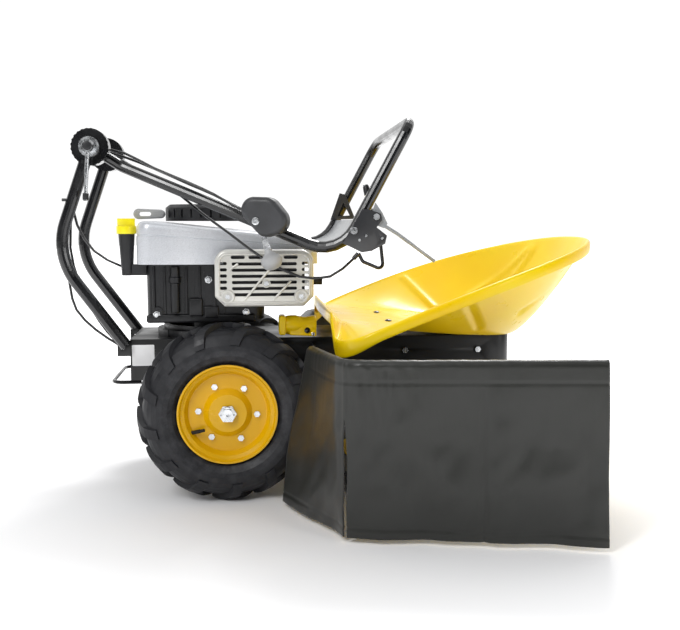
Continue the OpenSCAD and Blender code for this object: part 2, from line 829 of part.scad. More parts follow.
upper_half = [pivot + [22, upper_y, -14], [arm_back[0], upper_y + 1, arm_back[1]],
    [arm_front[0], grip_y, arm_front[1]], [412, grip_y, 496]];
upper_route = rounded(
    concat([for (p = upper_half) [p[0], -p[1], p[2]]],
        [for (i = [3:-1:0]) upper_half[i]]),
    [0, 60, 80, 42, 42, 80, 60, 0], 6);
module upper_handlebar() {
    color(black) on_deck() swept_tube(upper_route, upper_tube_d, tube_wall, 14);
    color(black) at_pivot() both_sides()
        toothed_disc(upper_disc_in, upper_disc_out, fold_bolt_d + 2 * run_gap);
}
module clamp_lever() {
    y = -lower_y - 16.5;
    color(silver) at_pivot() {
        difference() {
            rod_y(30, y - 18, y);
            rod_y(fold_bolt_d + 2 * run_gap, y - 8, y + 1);
        }
        translate([0, y - 10, 0]) rotate([0, 4, 0]) translate([0, 0, -108]) cylinder(d = 9, h = 96);
    }
    color(black) at_pivot() translate([0, y - 10, 0]) rotate([0, 4, 0]) translate([0, 0, -122])
        cylinder(d = 12, h = 14);
}
bend_c = [221, 0, 304];
module bridge_panel() {
    color(grey) on_deck() difference() {
        translate(bend_c - [0, grip_y - 8, 0]) rotate([-90, 0, 0])
            linear_extrude(grip_w - 16)
                difference() {
                    intersection() {
                        circle(r = 80);
                        translate([0, 23]) square([100, 100]);
                    }
                    circle(r = 77.5);
                }
        swept_rod(upper_route, upper_tube_d + 2 * bolt_gap, 14);
    }
}
splay = grip_y - upper_y - 1;
tube_yaw = -atan2(splay, arm_run);
box_along = 340;
box_share = box_along / arm_run;
box_at = [arm_back[0] + box_along, -(upper_y + 1 + splay * box_share),
    arm_back[1] + (arm_front[1] - arm_back[1]) * box_share + 26];
module at_box() {
    on_deck() translate(box_at) rotate([0, 0, tube_yaw]) children();
}
module box_outline(inset) {
    hull() {
        translate([-36, 27]) circle(r = 16 - inset, $fn = 32);
        translate([4, 21]) circle(r = 16 - inset, $fn = 32);
        translate([36, -4]) circle(r = 17 - inset, $fn = 32);
        translate([27, -27]) circle(r = 17 - inset, $fn = 32);
        translate([-2, -27]) circle(r = 18 - inset, $fn = 32);
        translate([-38, 2]) circle(r = 15 - inset, $fn = 32);
    }
}
box_near = -52;
lever_lean = 19;
shift_reach = 91;
module control_box() {
    color(dark_grey) at_box() difference() {
        translate([0, -15, 0]) rotate([90, 0, 0]) linear_extrude(-box_near - 15) box_outline(0);
        translate([0, -18, 0]) rotate([90, 0, 0]) linear_extrude(-box_near - 22) box_outline(4);
        translate([-24, -40, -60]) cube([42, 14, 40]);
        translate([-17, 0, -11]) rod_y(8 + 2 * bolt_gap, -60, -10);
        for (y = [-26, -40])
            translate([-60, y, 17]) rod_x(10, 0, 26);
    }
    color(zinc) at_box() translate([-17, 0, -11]) {
        rod_y(8, box_near - 1, -16);
        translate([0, box_near, 0]) rod_y(15, -4, 0);
    }
}
module shift_lever() {
    color(silver) at_box() translate([-17, -33, -11]) difference() {
        union() {
            rod_y(20, -3, 3);
            rotate([0, -lever_lean, 0]) translate([-6, -2.8, -shift_reach]) cube([12, 5.6, shift_reach]);
        }
        rod_y(8 + 2 * run_gap, -10, 10);
    }
    color(grey) at_box() translate([-17, -33, -11]) rotate([0, -lever_lean, 0])
        translate([0, 0, -shift_reach]) rotate_extrude()
            polygon([[0, -22], [12, -20], [21, -12], [24, -1], [21, 9], [13, 16], [9, 25], [0, 25]]);
}
lever_gap = 1;              // beside the hand bar, and between the lever and its plate
lever_out = grip_y + upper_tube_d / 2 + lever_gap;
lever_thick = 3.5;
plate_y = lever_out + lever_thick + lever_gap;
lever_pin_at = [332, 0, 287];
trigger_pin_at = [345, 0, 240];
module lever_plates() {
    color(dark_grey) on_deck() difference() {
        translate([0, -plate_y, 0]) rotate([90, 0, 0]) linear_extrude(4)
            polygon([[301, 304], [316, 303], [342, 294], [345, 280], [333, 264], [356, 246], [352, 228],
                [322, 212], [300, 209], [258, 229]]);
        translate(lever_pin_at) rod_y(8 + 2 * bolt_gap, -300, -200);
        translate(trigger_pin_at) rod_y(6 + 2 * bolt_gap, -300, -200);
    }
    color(black) on_deck() translate([0, grip_y - 14, 0]) rotate([90, 0, 0]) linear_extrude(4)
        difference() {
            polygon([[280, 282], [350, 284], [322, 352], [306, 356]]);
            polygon([[300, 292], [334, 294], [316, 330]]);
        }
}
module lever_pins() {
    color(zinc) on_deck() {
        translate(lever_pin_at) rod_y(8, -plate_y - 8, -grip_y + 18);
        translate(lever_pin_at) translate([0, -plate_y - 4, 0]) rod_y(14, -4, 0);
        translate(trigger_pin_at) rod_y(6, -plate_y - 7, -grip_y + 8);
        translate([282, 0, 257]) {
            rod_y(14, -plate_y, 0.1 - lever_out);
            translate([0, -plate_y - 4, 0]) rod_y(16, -5, 0);
        }
        translate([309, -plate_y - 4, 246]) rod_y(6, -3, 0);
        translate([295, -plate_y - 4, 236]) rod_y(6, -3, 0);
    }
}
module clutch_lever() {
    y = -lever_out;
    color(grey) on_deck() {
        difference() {
            translate([0, y, 0]) rotate([90, 0, 0]) linear_extrude(lever_thick)
                polygon([[322, 296], [331, 318], [346, 296], [358, 272], [350, 262], [328, 270]]);
            translate(lever_pin_at) rod_y(8 + 2 * run_gap, -300, -200);
        }
        swept_rod([[352, y - 1, 267], [380, y, 250], [466, y + 5, 188]], 8, 10);
    }
}
module drive_trigger() {
    y = -grip_y + 2;
    route = rounded([[345, y, 231], [352, y, 168], [305, y, 188], [296, y, 206]], [0, 9, 9, 0], 4);
    color(black) on_deck() {
        difference() {
            translate(trigger_pin_at) rod_y(18, y - 4, y + 4);
            translate(trigger_pin_at) rod_y(6 + 2 * run_gap, -300, -200);
        }
        swept_rod(route, 8, 10);
    }
}
module latch_lever() {
    y = -grip_y + 16;
    color(zinc) on_deck() {
        difference() {
            translate(lever_pin_at) rod_y(18, y - 4, y);
            translate(lever_pin_at) rod_y(8 + 2 * run_gap, -300, -200);
        }
        swept_rod([[328, y - 1, 296], [322, y + 2, 318], [318, y + 5, 336]], 7, 8);
    }
    color(black) on_deck() between([318, y + 5, 335], [314, y + 9, 358]) circle(d = 13);
}

// ---- control cables: routes from the levers to the fold pivot, and from there to the machine ----
cable_d = 6;
upper_routes = [
    [[292, -275, 206], [280, -274, 192], [232, -262, 155], [166, -212, 152], [88, -209, 191], [10, -200, 249],
        [-54, -170, 296], [-112, -122, 343], [-160, -106, 366], [-205, -91, 382], [-240, -81, 395],
        [-274, -77, 414], [-294, -76, 434]],
    [[46, -237, 305], [30, -232, 306], [-25, -190, 338], [-85, -160, 366], [-165, -124, 400],
        [-235, -90, 436], [-292, -70, 448]],
    [[50, -224, 305], [34, -218, 306], [-25, -176, 337], [-85, -146, 363], [-165, -110, 399],
        [-232, -78, 426], [-292, -60, 444]]];
lower_routes = [
    [[-324, -80, 424], [-338, -88, 388], [-352, -98, 326], [-346, -98, 269], [-312, -84, 208],
        [-257, -60, 172], [-214, -54, 162], [-191.5, -54, 160]],
    [[-326, -69, 430], [-346, -74, 390], [-366, -90, 300], [-374, -94, 215], [-368, -94, 128],
        [-355, -92, 69], [-313, -88, 21], [-262, -84, -16], [-232, -80, -30]],
    [[-325, -59, 428], [-342, -60, 390], [-360, -68, 320], [-368, -74, 215], [-350, -76, 134],
        [-324, -74, 70], [-290, -70, 14], [-258, -66, -22], [-232, -64, -44]]];
module upper_cables() {
    color(black) on_deck() {
        for (r = upper_routes) swept_rod(smooth(r, 2), cable_d, 8);
        translate([292, -275, 205]) rotate([0, 42, 0]) translate([0, 0, -14]) cylinder(d = 10, h = 16);
    }
}
module lower_cables() {
    color(black) on_deck() for (r = lower_routes) swept_rod(smooth(r, 2), cable_d, 8);
}

// ---- deflector tray ----
floor_slope = 0.102;
ring_n = 64;
floor_back = 268;
floor_front = 718;
rim_back = 240;
rim_low = 21;
crown = 17;
function tray_floor(x) = 34 - floor_slope * (x - tray_bolt_x);
function ease(t) = let (u = min(max(t, 0), 1)) u * u * (3 - 2 * u);
// Plan of a closed loop: a straight back edge, rounded corners and a long oval nose.
function loop_at(a, back, front, half, nose) =
    let (
        c = cos(a),
        s = sin(a),
        mid = back + (front - back) * 0.24,
        p = c > 0 ? nose : 5.5
    )
    [mid + sign(c) * pow(abs(c), 2 / p) * (c > 0 ? front - mid : mid - back),
     half * sign(s) * pow(abs(s), 2 / p)];
function rim_at(a) =
    let (
        p = loop_at(a, rim_back, tray_front - 12, tray_half - 12, 2.3),
        scuttle = 44 * ease((300 - abs(p[1])) / 70) * ease((330 - p[0]) / 80)
    )
    [p[0], p[1], rim_low + rim_slope * (p[0] - 262) + scuttle
        + crown * sin(180 * (p[0] - rim_back) / (tray_front - rim_back))];
function floor_at(a, k) =
    let (p = loop_at(a, floor_back, floor_front, 250, 2.1), q = [480, 0] + (p - [480, 0]) * k)
    [q[0], q[1], tray_floor(q[0])];
function wall_at(a, t) =
    let (f = floor_at(a, 1), r = rim_at(a))
    [f[0] + (r[0] - f[0]) * t, f[1] + (r[1] - f[1]) * t, f[2] + (r[2] - f[2]) * pow(t, 1.35)];
// The lip hangs deeper at the back corners.
function lip_drop(a) =
    let (p = rim_at(a))
    lip_h * (1 + 0.55 * ease((340 - p[0]) / 90) * ease((abs(p[1]) - 250) / 60));
function outward(a) = let (p = rim_at(a)) unit([p[0] - 480, p[1] * 1.1, 0]);
function tray_rings(drop) =
    [for (k = [0.35, 0.7, 1])
        [for (i = [0:ring_n - 1]) floor_at(i * 360 / ring_n, k) - [0, 0, drop] + outward(i * 360 / ring_n)
            * (k == 1 ? drop * 0.5 : 0)],
     for (t = [0.15, 0.35, 0.6, 0.85, 1])
        [for (i = [0:ring_n - 1]) wall_at(i * 360 / ring_n, t) - [0, 0, drop * (1 - t * 0.2)]
            + outward(i * 360 / ring_n) * drop * 0.7]];
module deflector_tray() {
    lip = [for (q = [[7, 4, 0], [12, -3, 0], [12, 0, -1], [9, 0, -1]])
        [for (i = [0:ring_n - 1]) rim_at(i * 360 / ring_n)
            + outward(i * 360 / ring_n) * q[0] + [0, 0, q[1] + q[2] * lip_drop(i * 360 / ring_n)]]];
    under_lip = [for (q = [[9, -5], [6, 0.5]])
        [for (i = [0:ring_n - 1]) rim_at(i * 360 / ring_n)
            + outward(i * 360 / ring_n) * q[0] + [0, 0, q[1]]]];
    under = tray_rings(tray_sheet);
    rings = concat(tray_rings(0), lip, under_lip, [for (i = [len(under) - 1:-1:0]) under[i]]);
    count = len(rings);
    color(yellow) on_deck() difference() {
        polyhedron(
            points = concat([[480, 0, tray_floor(480)]], [for (r = rings) each r],
                [[480, 0, tray_floor(480) - tray_sheet]]),
            faces = concat(
                [for (k = [0:ring_n - 1]) [0, 1 + (k + 1) % ring_n, 1 + k]],
                [for (j = [0:count - 2], k = [0:ring_n - 1], h = [0, 1])
                    let (a = 1 + j * ring_n + k, b = 1 + j * ring_n + (k + 1) % ring_n)
                    h == 0 ? [a, b, b + ring_n] : [a, b + ring_n, a + ring_n]],
                [for (k = [0:ring_n - 1])
                    [1 + count * ring_n, 1 + (count - 1) * ring_n + k,
                     1 + (count - 1) * ring_n + (k + 1) % ring_n]]),
            convexity = 8);
        for (s = [-1, 1])
            translate([tray_bolt_x, s * tray_bolt_y, 0]) cylinder(d = bolt_d + 2 * bolt_gap, h = 80);
    }
}
module tray_arm() {
    color(yellow) on_deck() translate([121, -126, 32]) {
        rod_x(50, 0, 24);
        translate([24, 0, 0]) rod_x(44, 0, 66);
        translate([60, -20, -32]) cube([30, 40, 12]);
    }
}

// ---- side shields ----
toe = 11.7;
rail_back = [238, 505, -8];
rail_front = rail_back + [shield_l * cos(toe), shield_l * sin(toe), 9];
rail_pts = [[rail_root_x, beam_w / 2 - 12, rail_root_z], [rail_root_x, beam_w / 2 + 30, rail_root_z],
    [190, 265, -14], rail_back, rail_front];
function on_rail(t) = rail_back + (rail_front - rail_back) * t;
module shield_rails() {
    color(black) on_deck() both_sides()
        swept_rod(rounded(rail_pts, [0, 20, 24, 30, 0], 4), rail_d, 10);
}
// A hanging flap between an outer and an inner edge, both given from the bottom up.
module flap(outer, inner) {
    n = len(outer);
    half = 2 * n;
    polyhedron(
        points = [for (q = [0, pvc], i = [0:n - 1], p = [outer[i], inner[i]]) p + [q, 0, 0]],
        faces = concat(
            [for (i = [0:n - 2], k = [0, 1])
                let (a = 2 * i)
                k == 0 ? [a, a + 2, a + 3] : [a, a + 3, a + 1]],
            [for (i = [0:n - 2], k = [0, 1])
                let (a = half + 2 * i)
                k == 0 ? [a, a + 3, a + 2] : [a, a + 1, a + 3]],
            [for (i = [0:n - 2]) [2 * i, half + 2 * i, half + 2 * i + 2, 2 * i + 2]],
            [for (i = [0:n - 2]) [2 * i + 1, 2 * i + 3, half + 2 * i + 3, half + 2 * i + 1]],
            [[0, 1, half + 1, half], [half - 2, 2 * half - 2, 2 * half - 1, half - 1]]));
}
shield_low = shield_gap - deck_z;
hem_d = rail_d + 2 * pvc + 10;
slit_top = -90;
flap_top = -26;
module side_shield_left() {
    edge = rail_back + [3, 3, 0];
    color(tarp_green) on_deck() difference() {
        union() {
            translate([edge[0] + 2, edge[1], 0]) rotate([0, 0, toe]) rotate([90, 0, 0])
                translate([0, 0, -pvc / 2]) linear_extrude(pvc)
                    polygon([[6, shield_low], [shield_l + 13, shield_low], [shield_l - 8, -5],
                        [-1, -17], [-1, slit_top], [6, slit_top]]);
            between(on_rail(0.05), on_rail(0.985)) circle(d = hem_d);
        }
        between(on_rail(-0.1), on_rail(1.2)) circle(d = rail_d + 2 * seat_gap);
    }
    color(tarp_green) on_deck()
        flap([[edge[0], edge[1], shield_low], [edge[0], edge[1], -160], [edge[0], edge[1], flap_top]],
            [[124, 267, shield_low], [131, 267, -143], [178, 267, flap_top]]);
}
module side_shield_right() {
    mirrored() side_shield_left();
}

chassis_beam();
rear_bar();
deck_bolts();
gearbox();
input_shaft();
belts();
axle_right();
axle_left();
rim_right();
rim_left();
tyre_right();
tyre_left();
wheel_bolts_right();
wheel_bolts_left();
valve_right();
valve_left();
engine_block();
cylinder_fins();
crankshaft();
engine_pulley();
flywheel();
shroud();
fan_guard();
fuel_tank();
fuel_cap();
oil_neck();
oil_cap();
starter_grip();
muffler();
muffler_guard();
guard_screws();
spark_plug();
plug_boot();
air_filter();
lower_handlebar();
pivot_bolts();
upper_handlebar();
clamp_lever();
bridge_panel();
control_box();
shift_lever();
lever_plates();
lever_pins();
clutch_lever();
drive_trigger();
latch_lever();
upper_cables();
lower_cables();
deflector_tray();
tray_arm();
shield_rails();
side_shield_right();
side_shield_left();
spindle_housing();
spindle();
mower_drum();
cutting_disc();
knife_front();
knife_back();
glide_dish();
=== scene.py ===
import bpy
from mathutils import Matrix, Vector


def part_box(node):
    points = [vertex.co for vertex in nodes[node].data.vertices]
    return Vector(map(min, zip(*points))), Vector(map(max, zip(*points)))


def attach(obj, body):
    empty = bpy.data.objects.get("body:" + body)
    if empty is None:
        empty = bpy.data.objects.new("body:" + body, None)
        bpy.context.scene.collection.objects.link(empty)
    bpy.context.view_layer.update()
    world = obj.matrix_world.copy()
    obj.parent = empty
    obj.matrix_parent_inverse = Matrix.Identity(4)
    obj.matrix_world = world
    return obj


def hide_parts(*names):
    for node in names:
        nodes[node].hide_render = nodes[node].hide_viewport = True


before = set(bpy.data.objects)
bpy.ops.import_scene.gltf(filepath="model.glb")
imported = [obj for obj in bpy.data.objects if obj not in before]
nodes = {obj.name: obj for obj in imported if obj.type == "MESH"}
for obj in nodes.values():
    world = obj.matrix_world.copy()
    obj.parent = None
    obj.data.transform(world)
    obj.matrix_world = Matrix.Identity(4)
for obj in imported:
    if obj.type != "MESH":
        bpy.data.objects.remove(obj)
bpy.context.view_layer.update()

import math

import bmesh
import bpy
from mathutils import Matrix, Vector, noise

scene = bpy.context.scene
scene.view_settings.view_transform = "Standard"

tyreLow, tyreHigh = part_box("tyre_right")
axle = Vector(((tyreLow.x + tyreHigh.x) / 2, 0, (tyreLow.z + tyreHigh.z) / 2))
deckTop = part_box("chassis_beam")[1].z


def fromAxle(x, y, z):
    # millimetres ahead of the axle, to the left of the middle and above the beam top
    return Vector((axle.x + x / 1000, y / 1000, deckTop + z / 1000))


# ---- camera ----
camera = {
    "ahead": 0.0555,      # metres ahead of the axle
    "out": -2.17,
    "up": 0.6416,
    "tilt": 83.83,
    "turn": -5.94,
    "lens": 45.53,
    "sensor": 36,
    "farthest": 60,
}
cameraData = bpy.data.cameras.new("camera")
cameraData.lens = camera["lens"]
cameraData.sensor_width = camera["sensor"]
cameraData.clip_end = camera["farthest"]
cameraObject = bpy.data.objects.new("camera", cameraData)
cameraObject.location = (axle.x + camera["ahead"], camera["out"], camera["up"])
cameraObject.rotation_euler = (math.radians(camera["tilt"]), 0, math.radians(camera["turn"]))
scene.collection.objects.link(cameraObject)
scene.camera = cameraObject
print("camera set")


# ---- materials ----
def toLinear(hexColour, alpha=1.0):
    values = [int(hexColour[i:i + 2], 16) / 255 for i in (0, 2, 4)]
    return tuple(v / 12.92 if v <= 0.04045 else ((v + 0.055) / 1.055) ** 2.4 for v in values) + (alpha,)


def addNode(tree, kind, settings=None, links=None, values=None):
    # settings are the node's own, values go on its sockets, and links bring other nodes' outputs in
    node = tree.nodes.new(kind)
    for name, value in (settings or {}).items():
        setattr(node, name, value)
    for name, value in (values or {}).items():
        node.inputs[name].default_value = value
    for name, source in (links or {}).items():
        tree.links.new(source, node.inputs[name])
    return node


def startMaterial(name, roughness, metallic=0.0, ior=1.5, coat=0.0, coatRoughness=0.1):
    material = bpy.data.materials.new(name)
    material.use_nodes = True
    tree = material.node_tree
    shader = tree.nodes["Principled BSDF"]
    shader.inputs["Metallic"].default_value = metallic
    shader.inputs["Roughness"].default_value = roughness
    if metallic < 0.5:
        shader.inputs["IOR"].default_value = ior
    shader.inputs["Coat Weight"].default_value = coat
    shader.inputs["Coat Roughness"].default_value = coatRoughness
    place = addNode(tree, "ShaderNodeTexCoord").outputs["Object"]
    return material, tree, shader, place


def speckle(tree, place, sizeMm, detail=3.0, roughness=0.5):
    # a noise whose blotches are about sizeMm across
    return addNode(tree, "ShaderNodeTexNoise", values={
        "Scale": 1000 / sizeMm / 2, "Detail": detail, "Roughness": roughness},
        links={"Vector": place}).outputs["Fac"]


def ramp(tree, source, low, high, colours):
    node = addNode(tree, "ShaderNodeValToRGB", links={"Fac": source})
    node.color_ramp.elements[0].position = low
    node.color_ramp.elements[1].position = high
    node.color_ramp.elements[0].color = colours[0]
    node.color_ramp.elements[1].color = colours[1]
    return node.outputs["Color"]


def shades(tree, shader, source, low, high, dark, light):
    colour = ramp(tree, source, low, high, (toLinear(dark), toLinear(light)))
    tree.links.new(colour, shader.inputs["Base Color"])


def glossRange(tree, shader, source, low, high):
    node = addNode(tree, "ShaderNodeMapRange", links={"Value": source}, values={
        "From Min": 0.3, "From Max": 0.7, "To Min": low, "To Max": high})
    tree.links.new(node.outputs["Result"], shader.inputs["Roughness"])


def relief(tree, shader, source, depthMm, strength=1.0, under=None):
    node = addNode(tree, "ShaderNodeBump", links={"Height": source}, values={
        "Distance": depthMm / 1000, "Strength": strength})
    if under:
        tree.links.new(under, node.inputs["Normal"])
    tree.links.new(node.outputs["Normal"], shader.inputs["Normal"])
    return node.outputs["Normal"]


def powderCoat(name, dark, light, roughness, peelMm=2.4, depthMm=0.05, coat=0.4):
    # steel, powder coated: the film pulls into a fine orange peel and dust dulls it in patches
    material, tree, shader, place = startMaterial(name, roughness, coat=coat, coatRoughness=0.12)
    patches = speckle(tree, place, 70, 4, 0.6)
    shades(tree, shader, patches, 0.35, 0.75, dark, light)
    glossRange(tree, shader, speckle(tree, place, 34, 3), roughness - 0.07, roughness + 0.12)
    relief(tree, shader, speckle(tree, place, peelMm, 2), depthMm)
    return material


def moulded(name, dark, light, roughness, grainMm=1.4, depthMm=0.08, coat=0.0):
    # thermoplastic, spark-textured mould: an even fine grain, a little paler where it is handled
    material, tree, shader, place = startMaterial(name, roughness, ior=1.49, coat=coat, coatRoughness=0.15)
    shades(tree, shader, speckle(tree, place, 26, 4), 0.3, 0.75, dark, light)
    glossRange(tree, shader, speckle(tree, place, 9, 3), roughness - 0.05, roughness + 0.08)
    relief(tree, shader, speckle(tree, place, grainMm, 2), depthMm)
    return material


def zincPlate(name, dark, light, roughness):
    # turned steel, bright zinc plated: cool grey with faint lathe lines and cloudy passivation
    material, tree, shader, place = startMaterial(name, roughness, metallic=1.0)
    shades(tree, shader, speckle(tree, place, 9, 4), 0.3, 0.72, dark, light)
    glossRange(tree, shader, speckle(tree, place, 5, 3), roughness - 0.08, roughness + 0.14)
    stretched = addNode(tree, "ShaderNodeMapping", links={"Vector": place}, values={"Scale": (1, 9, 1)})
    relief(tree, shader, speckle(tree, stretched.outputs["Vector"], 2.2, 2), 0.01)
    return material


def castSurface(name, dark, light, roughness):
    # die-cast alloy under heat-proof black: open sand-like grain and dust lying in the hollows
    material, tree, shader, place = startMaterial(name, roughness)
    grain = speckle(tree, place, 1.8, 5, 0.65)
    shades(tree, shader, speckle(tree, place, 16, 5, 0.6), 0.32, 0.72, dark, light)
    glossRange(tree, shader, grain, roughness - 0.1, roughness + 0.15)
    relief(tree, shader, grain, 0.22)
    return material


def enamel(name, dark, light, roughness):
    # pressed sheet, sprayed with glossy enamel: a wet clear surface, with the faint waves of the pressing
    material, tree, shader, place = startMaterial(name, roughness, coat=0.12, coatRoughness=0.08)
    shader.inputs["Specular IOR Level"].default_value = 0.32
    shades(tree, shader, speckle(tree, place, 120, 3), 0.3, 0.72, dark, light)
    glossRange(tree, shader, speckle(tree, place, 40, 4), roughness - 0.05, roughness + 0.1)
    waves = relief(tree, shader, speckle(tree, place, 80, 1), 0.4, 0.5)
    relief(tree, shader, speckle(tree, place, 1.6, 2), 0.02, 1.0, waves)
    return material


def metallicPaint(name, dark, light, roughness):
    # moulded cover, silver paint: fine flakes that glitter a little under a clear film
    material, tree, shader, place = startMaterial(name, roughness, metallic=0.3, coat=0.3, coatRoughness=0.12)
    shades(tree, shader, speckle(tree, place, 60, 3), 0.3, 0.72, dark, light)
    flakes = addNode(tree, "ShaderNodeTexVoronoi", values={"Scale": 900.0}, links={"Vector": place})
    glossRange(tree, shader, flakes.outputs["Distance"], roughness - 0.06, roughness + 0.1)
    relief(tree, shader, speckle(tree, place, 3, 2), 0.04)
    return material


sidewall = {"outer": 0.185, "inner": 0.12}     # radii between which the dust lies, in metres


def tyreRubber(name):
    # ribbed tractor tread, moulded carbon rubber: bluish black lugs, and pale dust caught on the sidewall
    material, tree, shader, place = startMaterial(name, 0.62, ior=1.52)
    centre = addNode(tree, "ShaderNodeVectorMath", {"operation": "SUBTRACT"}, {"Vector": place})
    centre.inputs[1].default_value = (axle.x, 0, axle.z)
    flat = addNode(tree, "ShaderNodeVectorMath", {"operation": "MULTIPLY"}, {"Vector": centre.outputs[0]})
    flat.inputs[1].default_value = (1, 0, 1)
    radius = addNode(tree, "ShaderNodeVectorMath", {"operation": "LENGTH"}, {"Vector": flat.outputs[0]})
    band = addNode(tree, "ShaderNodeMapRange", links={"Value": radius.outputs["Value"]}, values={
        "From Min": sidewall["outer"], "From Max": sidewall["inner"], "To Min": 0.0, "To Max": 1.0})
    mottle = addNode(tree, "ShaderNodeMapRange", links={"Value": speckle(tree, place, 11, 6, 0.7)}, values={
        "From Min": 0.42, "From Max": 0.68, "To Min": 0.0, "To Max": 1.0})
    dust = addNode(tree, "ShaderNodeMath", {"operation": "MULTIPLY"},
                   {0: band.outputs["Result"], 1: mottle.outputs["Result"]})
    mixed = addNode(tree, "ShaderNodeMix", {"data_type": "RGBA"}, links={"Factor": dust.outputs["Value"]})
    mixed.inputs[6].default_value = toLinear("101117")
    mixed.inputs[7].default_value = toLinear("38383c")
    tree.links.new(mixed.outputs[2], shader.inputs["Base Color"])
    glossRange(tree, shader, speckle(tree, place, 14, 4), 0.4, 0.66)
    relief(tree, shader, speckle(tree, place, 1.6, 4), 0.18)
    return material


def coatedCloth(name):
    # woven polyester, PVC coated: threads telegraph through the coat, and handling leaves chalky smears
    material, tree, shader, place = startMaterial(name, 0.4, ior=1.52)
    shader.inputs["Sheen Weight"].default_value = 0.05
    shader.inputs["Sheen Roughness"].default_value = 0.5
    smears = speckle(tree, place, 240, 4, 0.55)
    shades(tree, shader, smears, 0.34, 0.78, "1a1b18", "2a2b27")
    glossRange(tree, shader, smears, 0.3, 0.42)
    threads = []
    for axisName in ("X", "Z"):
        # threads 1 mm apart, drawn 2 mm apart so that they show
        wave = addNode(tree, "ShaderNodeTexWave", {"bands_direction": axisName, "wave_profile": "SIN"},
                       {"Vector": place}, {"Scale": 160.0, "Distortion": 0.6})
        threads.append(wave.outputs["Fac"])
    weave = addNode(tree, "ShaderNodeMath", {"operation": "MULTIPLY"}, {0: threads[0], 1: threads[1]})
    coat = relief(tree, shader, weave.outputs["Value"], 0.12, 0.7)
    relief(tree, shader, speckle(tree, place, 110, 3), 4.5, 0.8, coat)
    return material


looks = {
    "powderCoatBlack": powderCoat("powderCoatedSteelBlack", "08090b", "121317", 0.22),
    "beamBlack": powderCoat("powderCoatedBeamBlack", "060708", "0d0e10", 0.36, 2.4, 0.05, 0.08),
    "castBlack": castSurface("castAlloyBlackPainted", "090a0c", "1a1b1f", 0.34),
    "castGrey": castSurface("castIronGreyPainted", "141518", "2a2b2f", 0.46),
    "enamelYellow": enamel("enamelledSteelYellow", "fdd000", "ffde00", 0.3),
    "rimYellow": enamel("enamelledRimYellow", "e2ac00", "edb800", 0.3),
    "silverPaint": metallicPaint("paintedMouldingSilver", "cdd0d6", "e2e4e8", 0.3),
    "silverAlloy": metallicPaint("pressedAlloySilver", "c9c8c2", "e8e7e2", 0.36),
    "zinc": zincPlate("zincPlatedSteel", "cccfd2", "e4e6e8", 0.24),
    "knifeSteel": zincPlate("hardenedKnifeSteel", "8d8f92", "b9bbbe", 0.34),
    "tyreRight": tyreRubber("mouldedTyreRubberRight"),
    "tyreLeft": tyreRubber("mouldedTyreRubberLeft"),
    "blackPlastic": moulded("mouldedPolypropyleneBlack", "131416", "222327", 0.4),
    "cableSleeve": moulded("extrudedPvcSleeveBlack", "0e0f10", "191a1c", 0.3, 3.0, 0.03, 0.2),
    "bootRubber": moulded("mouldedRubberBlack", "161617", "232324", 0.62),
    "boxPlastic": moulded("mouldedPolyamideDarkGrey", "303133", "404144", 0.44, 1.8, 0.1),
    "knobPlastic": moulded("mouldedPolypropyleneGrey", "9b9c9d", "b4b5b6", 0.5, 1.8, 0.1),
    "capPlastic": moulded("mouldedPolypropyleneYellow", "f3e100", "fff11a", 0.34, 2.0, 0.05, 0.2),
    "greyPaint": powderCoat("powderCoatedSteelGrey", "85888b", "a2a5a8", 0.42),
    "platePaint": powderCoat("powderCoatedSteelDarkGrey", "26272a", "35363a", 0.42),
    "coatedCloth": coatedCloth("coatedWovenPolyester"),
    "blankVinyl": moulded("printedVinylWhite", "e9e9ea", "f5f5f6", 0.38, 6.0, 0.02),
}

wears = {
    "powderCoatBlack": ["chassis_beam", "rear_bar", "lower_handlebar", "upper_handlebar", "shield_rails",
                        "glide_dish", "drive_trigger"],
    "castBlack": ["engine_block", "cylinder_fins", "muffler", "gearbox"],
    "castGrey": ["spindle_housing", "cutting_disc"],
    "enamelYellow": ["deflector_tray", "tray_arm", "mower_drum"],
    "rimYellow": ["rim_right", "rim_left"],
    "silverPaint": ["shroud"],
    "silverAlloy": ["muffler_guard", "flywheel"],
    "zinc": ["deck_bolts", "input_shaft", "axle_right", "axle_left", "wheel_bolts_right", "wheel_bolts_left",
             "crankshaft", "engine_pulley", "guard_screws", "spark_plug", "pivot_bolts", "clamp_lever",
             "shift_lever", "lever_pins", "latch_lever", "spindle"],
    "knifeSteel": ["knife_front", "knife_back"],
    "tyreRight": ["tyre_right"],
    "tyreLeft": ["tyre_left"],
    "blackPlastic": ["fan_guard", "fuel_tank", "fuel_cap", "oil_neck", "air_filter"],
    "cableSleeve": ["upper_cables", "lower_cables"],
    "bootRubber": ["belts", "valve_right", "valve_left", "plug_boot"],
    "boxPlastic": ["control_box"],
    "knobPlastic": ["starter_grip"],
    "capPlastic": ["oil_cap"],
    "greyPaint": ["bridge_panel", "clutch_lever"],
    "platePaint": ["lever_plates"],
    "coatedCloth": ["side_shield_right", "side_shield_left"],
}
roundedNodes = {"lower_handlebar", "upper_handlebar", "deflector_tray", "tyre_right", "tyre_left", "rear_bar",
                "shield_rails", "upper_cables", "lower_cables", "drive_trigger"}
for lookName, members in wears.items():
    for nodeName in members:
        mesh = nodes[nodeName].data
        mesh.materials.clear()
        mesh.materials.append(looks[lookName])
        mesh.polygons.foreach_set("use_smooth", [True] * len(mesh.polygons))
        mesh.set_sharp_from_angle(angle=math.radians(48 if nodeName in roundedNodes else 28))
print("materials on", len(nodes), "nodes")


